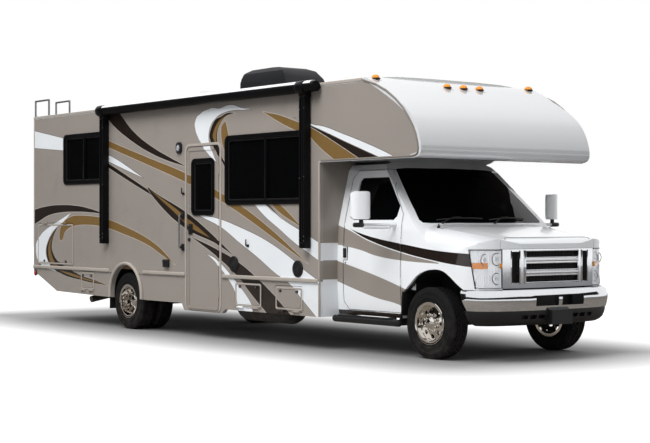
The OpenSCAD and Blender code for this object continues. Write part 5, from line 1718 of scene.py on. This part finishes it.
@dataclass
class FrontEnd:
    """Grille cores and lips, lamp reflectors, amber lenses and bezels."""

    nose_x: float = 790.0
    nose_start: float = 100.0
    half: float = 1005.0
    grille_z0: float = 742.0
    grille_z1: float = 1140.0
    foot: float = 62.0
    bar: float = 62.0
    opening: float = 64.0
    open_half: float = 385.0
    side_slot: Flat = (464.0, 560.0)
    lamp_rear: float = 550.0
    lamp_slant: float = 58.0
    lamp_in: float = 668.0
    amber_x: Flat = (586.0, 690.0)
    amber_z: Flat = (944.0, 1006.0)
    bowls: tuple[Point, ...] = ((724.0, 1040.0, 60.0), (724.0, 846.0, 56.0), (838.0, 1036.0, 56.0))

    def nose_y(self, x: float) -> float:
        """Gives the cab's half width at a station of its nose."""
        share = (x - self.nose_start) / (self.nose_x - self.nose_start)
        return self.half * max(1 - max(share, 0.0) ** 5, 0.0) ** (1 / 3)

    def cores(self) -> None:
        """Builds the near-black cores behind the grille's openings, painted shade for the dark inside, and
        the fine bars there.
        """
        shape = Shape(Palette.dark_void)
        half = self.open_half - 1
        for i in range(3):
            z = self.grille_z0 + self.foot + i * (self.opening + self.bar)
            # Near-black sheet behind the opening: painted shade.
            shape.use(Palette.dark_void).box((758, -half, z + 1), (764, half, z + self.opening - 1))
            for k in range(3):
                level = z + 9 + k * 20.0
                shape.use(Palette.satin).box((762, -half, level), (772, half, level + 6), 2)
            for k in range(16):
                y = -360 + 48.0 * k
                shape.box((762, y - 2.5, z + 1), (769, y + 2.5, z + self.opening - 1), 1)
        foot = self.grille_z0 + self.foot
        near, far = self.side_slot[0] + 1, self.side_slot[1] - 1
        for s in (-1, 1):
            # Near-black sheet behind the side slot: painted shade.
            shape.use(Palette.dark_void).side_box(s, (738, near, foot - 5), (744, far, self.grille_z1 - 25))
            for k in range(14):
                level = foot + 2 + 22.5 * k
                shape.use(Palette.satin).side_box(s, (742, near, level), (755, far, level + 8), 2)
        shape.done("grille_cores", "coach")

    def lips(self) -> None:
        """Builds the bright rounded lips round the grille's openings."""
        shape = Shape(Palette.chrome)
        half = self.open_half + 6
        for i in range(3):
            z = self.grille_z0 + self.foot + i * (self.opening + self.bar)
            for level in (z - 9, z + self.opening - 3):
                shape.box((768, -half, level), (795, half, level + 12), 5, 3)
        for i in range(2):
            z = self.grille_z0 + self.foot + self.opening + i * (self.opening + self.bar) + self.bar / 2
            shape.box((776, -half, z - 15), (800, half, z + 15), 11, 4)
        for s in (-1, 1):
            low, high = self.grille_z0 + 46, self.grille_z1 - 10
            shape.side_box(s, (768, self.open_half - 3, low + 2), (796, self.open_half + 13, high + 2), 6, 3)
            for y in (self.side_slot[0] - 12, self.side_slot[1] - 2):
                front = self.nose_x - (4 if y < 500 else 22)
                shape.side_box(s, (front - 40, y, low), (front, y + 14, high), 6, 3)
        shape.done("grille_lips", "coach")

    def skin(self, s: int, x: float, z: float) -> tuple[Point, Vector, bool]:
        """Finds the face of a headlamp square in from the cab's outline in plan.

        Args:
            s: -1 for the right lamp, 1 for the left one.
            x: Station on the outline.
            z: Height of the point.

        Returns:
            The point, the way outwards in plan as on the left side, and whether the lamp was met.
        """
        way = Vector((4.0, self.nose_y(x + 4) - self.nose_y(x))).normalized()
        off = Vector((-way.y, way.x))
        far = Vector((x, self.nose_y(x))) + off * 200
        hit = Solids.touch("headlamps", (far.x, s * far.y, z), (-off.x, -s * off.y, 0))
        return hit, off, abs(hit[1]) < abs(far.y) - 20

    def lamp_edge(self, s: int, out: float) -> list[Point]:
        """Finds points round the edge of one headlamp, on the cab's skin.

        Args:
            s: -1 for the right lamp, 1 for the left one.
            out: How far the points stand off the skin.

        Returns:
            The points, from the foot of the rear edge over the top to the grille.
        """
        rear, low, high = self.lamp_rear + 6, self.grille_z0 + 8, self.grille_z1 - 6
        shares = [k / 8 for k in range(9)]
        rows = [(rear + self.lamp_slant * (1 - share), low + share * (high - low)) for share in shares]
        rows += [(rear + k * 14.0, high) for k in range(1, 14)]
        finds = [self.skin(s, x, z) for x, z in rows]
        return [(hit[0] + off.x * out, hit[1] + s * off.y * out, hit[2]) for hit, off, met in finds if met]

    def amber_lens(self, shape: Shape, s: int) -> None:
        """Adds a headlamp's amber lenses: a strip round its outer corner and a small one by the grille.

        Args:
            shape: The piece in the making.
            s: -1 for the right lamp, 1 for the left one.
        """
        part = bmesh.new()
        rings = []
        low, high = self.amber_z
        corners = ((3, low), (3, high), (15, high), (15, low))
        for k in range(9):
            x = self.amber_x[0] + (self.amber_x[1] - self.amber_x[0]) * k / 8
            hit, off, _ = self.skin(s, x, (low + high) / 2)
            spots = [at(hit[0] - off.x * d, hit[1] - s * off.y * d, z) for d, z in corners]
            rings.append([part.verts.new(spot) for spot in spots])
        for first, second in zip(rings, rings[1:]):
            for k in range(4):
                part.faces.new((first[k], first[k - 1], second[k - 1], second[k]))
        part.faces.new(rings[0])
        part.faces.new(rings[-1])
        bmesh.ops.recalc_face_normals(part, faces=part.faces)
        shape.use(Palette.amber).join(part)
        shape.side_box(s, (736, self.lamp_in + 6, 946), (750, self.lamp_in + 30, 1000), 5)

    def reflectors(self) -> None:
        """Builds the reflectors, bowls and amber lenses inside the headlamps, and their dark bezels."""
        part = bmesh.new()
        part.from_mesh(Solids.nodes["headlamps"].data)
        bmesh.ops.remove_doubles(part, verts=part.verts, dist=1e-5)
        for vert in part.verts:
            x, y, z = back(vert.co)
            vert.co = at(x - 16, y - math.copysign(9, y), 942 + (z - 942) * 0.97)
        shape = Shape(Palette.reflector)
        shape.join(part)
        for s in (-1, 1):
            for y, z, r in self.bowls:
                face = Solids.touch("headlamps", (1500, s * y, z), (-1, 0, 0))[0]
                rim = ring((s * y, z), r, 0, 361, 15)
                shape.use(Palette.alloy).tube([(face - 16, *spot) for spot in rim], 4.5, 8)
                shape.use(Palette.lens).ball((face - 17, s * y, z), (8, r * 0.34, r * 0.34), 16)
            self.amber_lens(shape, s)
            shape.use(Palette.satin).tube(self.lamp_edge(s, 0.5), 4.5, 8)
        shape.done("lamp_reflectors", "coach")

    def build(self) -> None:
        """Builds the front end's detail."""
        self.cores()
        self.lips()
        self.reflectors()


@dataclass
class CabFittings:
    """Wipers, aerial base, hood lines, wheel house liners, mud flaps and step pads."""

    arch_reach: float = 432.0
    arch_rise: float = 558.0
    arch: tuple[Flat, ...] = (
        (-1.0, 0.41), (-0.94, 0.54), (-0.66, 0.715), (-0.45, 0.853), (-0.3, 0.915), (-0.14, 0.961),
        (0.045, 0.99), (0.235, 1.0), (0.38, 0.996), (0.51, 0.972), (0.635, 0.928), (0.765, 0.866),
        (0.925, 0.778), (1.06, 0.699), (1.2, 0.625), (1.2, 0.45),
    )
    flap: tuple[Flat, ...] = ((-400, 700), (-412, 700), (-428, 450), (-482, 322), (-472, 318), (-416, 448))

    def wipers(self) -> None:
        """Builds two wipers that lie on the windshield."""
        shape = Shape(Palette.plastic)
        for start, end in ((-720, -120), (-40, 560)):
            path = []
            for k in range(7):
                share = k / 6
                y = start + share * (end - start)
                z = 1428 + 14 * math.sin(share * math.pi) + 14 * share
                hit = Solids.touch("windshield", (1500, y, z), (-1, 0, 0))
                path.append((hit[0] + 10, hit[1], hit[2] + 9))
            shape.tube(path, 8, 8)
            lift = [(x + 12, y, z + 10) for x, y, z in path]
            shape.tube([(lift[0][0] + 24, start + 60, 1412), lift[2], lift[3]], 6, 8)
            shape.ball((lift[0][0] + 20, start + 60, 1410), (20, 20, 14), 14)
        shape.done("wipers", "coach")

    def aerial(self) -> None:
        """Builds the short aerial base at the right of the cowl."""
        shape = Shape(Palette.plastic)
        x, y, z = Solids.touch("cab_shell", (-60, -800, 1800), (0, 0, -1))
        shape.rod((x, y, z - 6), (x, y, z + 22), 20, 14, 18, 4)
        shape.rod((x, y, z + 20), (x - 4, y, z + 40), 8, 6, 12)
        shape.done("aerial_base", "coach")

    def hood_lines(self) -> None:
        """Builds the fine line across the hood's front lip."""
        shape = Shape(Palette.seam_line)
        path = []
        rows = [(742.0, -626.0), (716.0, -618.0), (704.0, -604.0), (700.0, -584.0)]
        rows += [(700.0, -560 + 70.0 * k) for k in range(17)]
        rows += [(700.0, 584.0), (704.0, 604.0), (716.0, 618.0), (742.0, 626.0)]
        for x, y in rows:
            hit = Solids.touch("hood", (x, y, 1800), (0, 0, -1))
            path.append((hit[0], hit[1], hit[2] - 1.2))
        shape.tube(path, 4.0, 8)
        shape.done("hood_line", "hood")

    def liners(self) -> None:
        """Builds the dark wheel houses and the mud flaps."""
        shape = Shape(Palette.plastic)
        line = [(x * self.arch_reach, AXLE_Z + z * self.arch_rise + 3) for x, z in self.arch]
        for s in (-1, 1):
            part = bmesh.new()
            rows = [[part.verts.new(at(x, s * y, z)) for x, z in line] for y in (560.0, 970.0)]
            for i in range(len(line) - 1):
                part.faces.new((rows[0][i], rows[0][i + 1], rows[1][i + 1], rows[1][i]))
            part.faces.new(rows[0])
            bmesh.ops.recalc_face_normals(part, faces=part.faces)
            bmesh.ops.solidify(part, geom=part.faces[:], thickness=0.003)
            shape.join(part, outward=False)
            shape.plate(self.flap, *sorted((s * 770, s * 1004)), 3)
            shape.side_box(s, (-274, 560, 664), (-269.2, 930, 838), 2)
            shape.side_box(s, (-6148, 850, 250), (-6138, 1230, 700), 4)
        shape.done("wheel_houses", "coach")

    def pads(self) -> None:
        """Builds the ribbed pads on the running boards."""
        shape = Shape(Palette.plastic)
        for s in (-1, 1):
            shape.side_box(s, (-1380, 1046, 386), (-460, 1104, 398), 5)
            for k in range(44):
                x = -1370 + 20.6 * k
                shape.side_box(s, (x, 1052, 395), (x + 9, 1098, 402), 1.5)
            for x in (-1456.0, -369.0):
                shape.ball((x, s * 1075, 355), (12, 36, 36), 20)
        shape.done("step_pads", "coach")

    def build(self) -> None:
        """Builds the cab's small fittings."""
        self.wipers()
        self.aerial()
        self.hood_lines()
        self.liners()
        self.pads()


@dataclass
class CabDoors:
    """Handles, mirror glass and mirror joints on the two cab doors."""

    mirror: Point = (-571.0, 1436.0, 1590.0)
    toe: float = 24.0
    joint_z: float = 1385.0
    shut_line: tuple[Flat, ...] = (
        (-1393, 540), (-1310, 457), (-438, 457), (-438, 1498), (-767, 1940), (-806, 1978), (-1312, 1978),
        (-1393, 1895), (-1393, 540),
    )

    def handle(self, shape: Shape, s: int, end: str) -> None:
        """Adds one door's handle and lock.

        Args:
            shape: The piece in the making.
            s: -1 on the right, 1 on the left.
            end: Name of the side.
        """
        face = Solids.touch(f"cab_door_{end}", (-1300, s * 2000, 1069), (0, -s, 0))[1]
        shape.side_box(s, (-1395, s * face - 8, 994), (-1322, s * face + 7, 1144), 6, 3)
        shape.side_box(s, (-1384, s * face + 4, 1022), (-1334, s * face + 24, 1130), 9, 3)
        shape.rod((-1359, face - s * 4, 966), (-1359, face + s * 5, 966), 12, 10, 16)

    def edge(self, s: int, end: str) -> None:
        """Draws the dark line of one door's edge.

        Args:
            s: -1 on the right, 1 on the left.
            end: Name of the side.
        """
        line = Shape(Palette.seam_line)
        for (x0, z0), (x1, z1) in zip(self.shut_line, self.shut_line[1:]):
            steps = max(2, round(math.hypot(x1 - x0, z1 - z0) / 60))
            spots = [(x0 + (x1 - x0) * k / steps, z0 + (z1 - z0) * k / steps) for k in range(steps + 1)]
            hits = [Solids.touch(f"cab_door_{end}", (x, s * 1150, z), (0, -s, 0)) for x, z in spots]
            path = [hit for hit in hits if abs(hit[1]) < 1040]
            if len(path) > 1:
                line.tube(path, 3.0, 6)
        line.done(f"cab_door_line_{end}", f"cab_door_{end}")

    def head(self, shape: Shape, s: int) -> None:
        """Adds one mirror's glass and its rim, turned towards the driver.

        Args:
            shape: The piece in the making.
            s: -1 on the right, 1 on the left.
        """
        x, y, z = self.mirror
        y *= s
        shape.use(Palette.plastic).plate_x(round_rect(y - 97, z - 136, y + 97, z + 136, 40), x - 43, x - 38)
        shape.use(Palette.mirror)
        for low, high, r in ((-127, 60, 34), (68, 127, 26)):
            shape.plate_x(round_rect(y - 88, z + low, y + 88, z + high, r), x - 46, x - 42)
        middle = Matrix.Translation(at(x, y, z))
        turn = middle @ Matrix.Rotation(math.radians(s * self.toe), 4, "Z") @ middle.inverted()
        bmesh.ops.transform(shape.bm, matrix=turn, verts=shape.bm.verts)

    def build(self) -> None:
        """Builds the fittings of each door."""
        for side in Side:
            s, end = side.value, side.name.lower()
            glass = Shape(Palette.plastic)
            self.head(glass, s)
            glass.done(f"mirror_glass_{end}", f"cab_door_{end}")
            shape = Shape(Palette.plastic)
            self.handle(shape, s, end)
            x, y, _ = self.mirror
            z = self.joint_z
            shape.rod((x + 10, s * (y - 22), z), (x + 9, s * (y + 96), z), 27, 24, 20, 5)
            shape.rod((x + 10, s * y, 1380), (x + 10, s * y, 1450), 24, 22, 20, 4)
            shape.done(f"cab_door_fittings_{end}", f"cab_door_{end}")
            self.edge(s, end)
            bracket = Shape(Palette.cab_plain)
            bracket.rod((x + 30, s * 950, z), (x + 27, s * 1046, z), 34, 22, 20, 6)
            bracket.rod((x + 22, s * 1040, 1352), (x + 16, s * (y - 40), 1352), 9, 9, 14)
            bracket.done(f"mirror_foot_{end}", f"cab_door_{end}")


ASSEMBLIES = (
    Seats(), Tyres(), WheelTrim(), HouseWindows(), Mouldings(), Hatches(), EntryFittings(), Speakers(),
    AwningTrim(), Lamps(), RoofGear(), FrontEnd(), CabFittings(), CabDoors(),
)


@dataclass
class Studio:
    """Pale floor, soft light and the camera."""

    eye: Point = (11369.0, -11245.0, 1423.0)
    azimuth: float = 52.0
    elevation: float = 0.1
    lens: float = 82.05
    shift_x: float = 0.0012
    shift_y: float = -0.0043
    floor_z: float = -0.0005
    world: float = 0.46
    wall_r: float = 34.0
    wall_z: float = 4.0
    wall_h: float = 6.0
    tall_wall: Flat = (190.0, 246.0)
    no_wall: Flat = (70.0, 184.0)
    ground_r: float = 13.0
    far_r: float = 33.0
    # Painted shadow on the floor: middle and half sizes of a box round the footprint in metres, the distances
    # over which the glow rises from it, and the glow at each end.
    shade_x: float = -0.6
    shade_half: Flat = (5.0, 1.26)
    shade_fade: Flat = (-0.9, 1.9)
    shade_glow: Flat = (0.1, 1.08)

    def camera(self) -> None:
        """Places the camera at the photograph's view."""
        data = bpy.data.cameras.new("photo_view")
        data.lens = self.lens
        data.sensor_width = 36.0
        data.sensor_fit = "HORIZONTAL"
        data.clip_end = 200.0
        data.shift_x, data.shift_y = self.shift_x, self.shift_y
        holder = link("photo_view", data)
        holder.location = at(*self.eye)
        turn = math.radians(self.azimuth)
        rise = math.radians(self.elevation)
        way = Vector((-math.sin(turn) * math.cos(rise), math.cos(turn) * math.cos(rise), math.sin(rise)))
        holder.rotation_euler = way.to_track_quat("-Z", "Y").to_euler()
        bpy.context.scene.camera = holder

    @staticmethod
    def seen(kit: Nodes) -> bpy.types.NodeSocket:
        """Tells rays that show a surface, straight, mirrored or through glass, from rays of light.

        Args:
            kit: Node tree to add to.

        Returns:
            Socket that is 1 for the first kind.
        """
        path = kit.add("LightPath")
        kinds = ("Camera", "Glossy", "Transmission")
        eye, gloss, through = (path.outputs[f"Is {kind} Ray"] for kind in kinds)
        return kit.math("MAXIMUM", kit.math("MAXIMUM", eye, gloss), through)

    def floor(self) -> None:
        """Lays a pale floor that keeps the lamps' shadows, with a painted shadow round the vehicle's
        footprint that cuts back its glow, deepened by ambient occlusion.
        """
        part = bmesh.new()
        bmesh.ops.create_grid(part, x_segments=8, y_segments=8, size=60.0)
        bmesh.ops.translate(part, vec=(0, 0, self.floor_z), verts=part.verts)
        mesh = to_mesh(part, "studio_floor")
        material = bpy.data.materials.new("pale_floor")
        material.use_nodes = True
        kit = Nodes(material.node_tree)
        shader = material.node_tree.nodes["Principled BSDF"]
        shader.inputs["Roughness"].default_value = 0.85
        shader.inputs["Specular IOR Level"].default_value = 0.1
        shader.inputs["Base Color"].default_value = (0.16, 0.16, 0.16, 1)
        place = kit.add("SeparateXYZ", Vector=kit.add("TexCoord").outputs["Object"])
        # Painted shadow: the glow ramps up with distance from a box round the footprint, and ambient
        # occlusion darkens it further near the vehicle.
        from_middle = kit.math("ABSOLUTE", kit.math("SUBTRACT", place.outputs["X"], self.shade_x))
        ahead = kit.math("MAXIMUM", kit.math("SUBTRACT", from_middle, self.shade_half[0]), 0.0)
        off_middle = kit.math("ABSOLUTE", place.outputs["Y"])
        aside = kit.math("MAXIMUM", kit.math("SUBTRACT", off_middle, self.shade_half[1]), 0.0)
        occlusion_shade = kit.add("AmbientOcclusion", Distance=1.6).outputs["AO"]
        painted_shadow = kit.ramp(kit.length(ahead, aside), *self.shade_fade, *self.shade_glow)
        strength = kit.math("MULTIPLY", painted_shadow, kit.math("POWER", occlusion_shade, 1.8))
        glow = kit.add("Emission", Color=(1, 1, 1, 1), Strength=strength)
        lit = kit.add("AddShader", in0=shader.outputs[0], in1=glow.outputs[0])
        dim = kit.add("BsdfDiffuse", Color=(0.42, 0.42, 0.42, 1))
        choose = kit.add("MixShader", Fac=self.seen(kit), in1=dim.outputs[0], in2=lit.outputs[0])
        feed(kit.tree, kit.tree.nodes["Material Output"].inputs["Surface"], choose.outputs[0])
        mesh.materials.append(material)
        link("studio_floor", mesh)

    def backdrop(self) -> None:
        """Sets the world: white to the eye, soft and even as light."""
        world = bpy.data.worlds.new("soft_white")
        bpy.context.scene.world = world
        world.use_nodes = True
        kit = Nodes(world.node_tree)
        light = kit.add("Background", Color=(0.97, 0.985, 1.0, 1), Strength=self.world)
        white = kit.add("Background", Color=(1, 1, 1, 1), Strength=1.0)
        choose = kit.add("MixShader", Fac=self.seen(kit), in1=light.outputs[0], in2=white.outputs[0])
        feed(kit.tree, kit.tree.nodes["World Output"].inputs["Surface"], choose.outputs[0])

    @staticmethod
    def turn(spot: Vector) -> float:
        """Gives the bearing of a point from the middle of the floor, in degrees."""
        return math.degrees(math.atan2(spot.y, spot.x)) % 360

    def dark_walls(self) -> None:
        """Stands dark cards far off and lays ground cards, for bright metal, glass and paint to mirror."""
        part = bmesh.new()
        bmesh.ops.create_circle(part, cap_ends=False, segments=48, radius=self.wall_r)
        foot = part.verts[:]
        out = bmesh.ops.extrude_edge_only(part, edges=part.edges[:])
        top = [v for v in out["geom"] if isinstance(v, bmesh.types.BMVert)]
        (tall_from, tall_to), (bare_from, bare_to) = self.tall_wall, self.no_wall
        levels = ((foot, self.wall_z, 0.0), (top, self.wall_z + self.wall_h, self.wall_r * 0.65))
        for verts, usual, tall in levels:
            for vert in verts:
                vert.co.z = tall if tall_from < self.turn(vert.co) < tall_to else usual
        bare = [f for f in part.faces if bare_from < self.turn(f.calc_center_median()) < bare_to]
        bmesh.ops.delete(part, geom=bare, context="FACES")
        self.card("dark_cards", part, Palette.card)
        for name, radius, lift, finish in (
            ("ground_card", self.ground_r, 0.001, Palette.asphalt),
            ("far_ground_card", self.far_r, 0.0005, Palette.concrete),
        ):
            ground = bmesh.new()
            bmesh.ops.create_circle(ground, cap_ends=True, segments=48, radius=radius)
            bmesh.ops.translate(ground, vec=(0, 0, lift), verts=ground.verts)
            self.card(name, ground, finish)

    def card(self, name: str, part: bmesh.types.BMesh, finish: Finish) -> None:
        """Stands a card that only mirrors show.

        Args:
            name: Name of the card.
            part: Its mesh, which is freed.
            finish: Its finish.
        """
        mesh = to_mesh(part, name)
        mesh.materials.append(finish.material())
        holder = link(name, mesh)
        holder.visible_camera = holder.visible_diffuse = False
        holder.visible_shadow = holder.visible_transmission = False

    def lamp(self, name: str, place: Point, target: Point, size: float, power: float) -> None:
        """Hangs a square soft lamp that mirrors don't show.

        Args:
            name: Name of the lamp.
            place: Where it hangs.
            target: What it points at.
            size: Edge length in metres.
            power: Power in watts.
        """
        data = bpy.data.lights.new(name, "AREA")
        data.size = size
        data.spread = math.radians(120)
        data.energy = power
        holder = link(name, data)
        holder.visible_glossy = False
        holder.location = at(*place)
        holder.rotation_euler = (at(*target) - at(*place)).to_track_quat("-Z", "Y").to_euler()

    def build(self) -> None:
        """Builds the studio."""
        self.camera()
        self.floor()
        self.backdrop()
        self.dark_walls()
        self.lamp("key_lamp", (500, -9500, 12500), (-3000, -1200, 1400), 8.0, 890)
        self.lamp("rear_lamp", (-12000, -6000, 8000), (-5000, 0, 1200), 6.0, 160)
        self.lamp("far_lamp", (-2000, 11000, 8000), (-3000, 0, 1200), 7.0, 150)
        bpy.context.scene.view_settings.view_transform = "Standard"


@dataclass(frozen=True)
class SoftFacets:
    """Modifiers that shade the small facets of a curved solid as one surface, and keep its real edges."""

    name: str = "soft_facets"
    angle: float = 27.0
    weld: float = 2e-5

    def tree(self) -> bpy.types.NodeTree:
        """Gives the modifier's node group, built at its first use.

        Returns:
            The group, which joins the facets and marks the edges above the angle.
        """
        ready = bpy.data.node_groups.get(self.name)
        if ready is not None:
            return ready
        tree = bpy.data.node_groups.new(self.name, "GeometryNodeTree")
        for way in ("INPUT", "OUTPUT"):
            tree.interface.new_socket("Geometry", in_out=way, socket_type="NodeSocketGeometry")
        plain = tree.nodes.new("GeometryNodeRemoveAttribute")
        plain.inputs["Name"].default_value = "custom_normal"
        weld = tree.nodes.new("GeometryNodeMergeByDistance")
        weld.inputs["Distance"].default_value = self.weld
        steps = [tree.nodes.new("NodeGroupInput"), plain, weld]
        for domain, smooth in (("FACE", True), ("EDGE", True), ("EDGE", False)):
            shade = tree.nodes.new("GeometryNodeSetShadeSmooth")
            shade.domain = domain
            shade.inputs["Shade Smooth"].default_value = smooth
            steps.append(shade)
        above = tree.nodes.new("FunctionNodeCompare")
        above.operation = "GREATER_THAN"
        above.inputs[1].default_value = math.radians(self.angle)
        tree.links.new(tree.nodes.new("GeometryNodeInputMeshEdgeAngle").outputs[0], above.inputs[0])
        tree.links.new(above.outputs[0], steps[-1].inputs["Selection"])
        steps.append(tree.nodes.new("NodeGroupOutput"))
        for first, second in zip(steps, steps[1:]):
            tree.links.new(first.outputs[0], second.inputs[0])
        return tree

    def dress(self, solid: bpy.types.Object) -> None:
        """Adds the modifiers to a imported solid."""
        solid.modifiers.new("soft_facets", "NODES").node_group = self.tree()
        solid.modifiers.new("even_normals", "WEIGHTED_NORMAL").keep_sharp = True


CURVED = (
    "cab_shell", "hood", "fender_left", "fender_right", "cab_door_left", "cab_door_right", "overcab_cap",
    "windshield", "front_bumper", "air_dam", "grille", "headlamps", "roof_air_conditioner", "roof_vents",
    "door_glass_left", "door_glass_right", "dashboard",
)


def dress_solids(nodes: dict[str, bpy.types.Object]) -> None:
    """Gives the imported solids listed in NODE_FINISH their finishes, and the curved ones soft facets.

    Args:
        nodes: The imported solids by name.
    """
    for finish, names in NODE_FINISH.items():
        for name in names:
            for slot in nodes[name].material_slots:
                slot.material = finish.material()
            LOG.info("%s: %s", name, finish.name)
    for name in CURVED:
        SoftFacets().dress(nodes[name])


def main() -> None:
    """Builds the looks in order."""
    logging.basicConfig(level=logging.INFO, format="%(message)s")
    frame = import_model()
    Solids.nodes = frame["nodes"]
    dress_solids(frame["nodes"])
    for assembly in ASSEMBLIES:
        assembly.build()
    Studio().build()


if __name__ == "__main__":
    main()
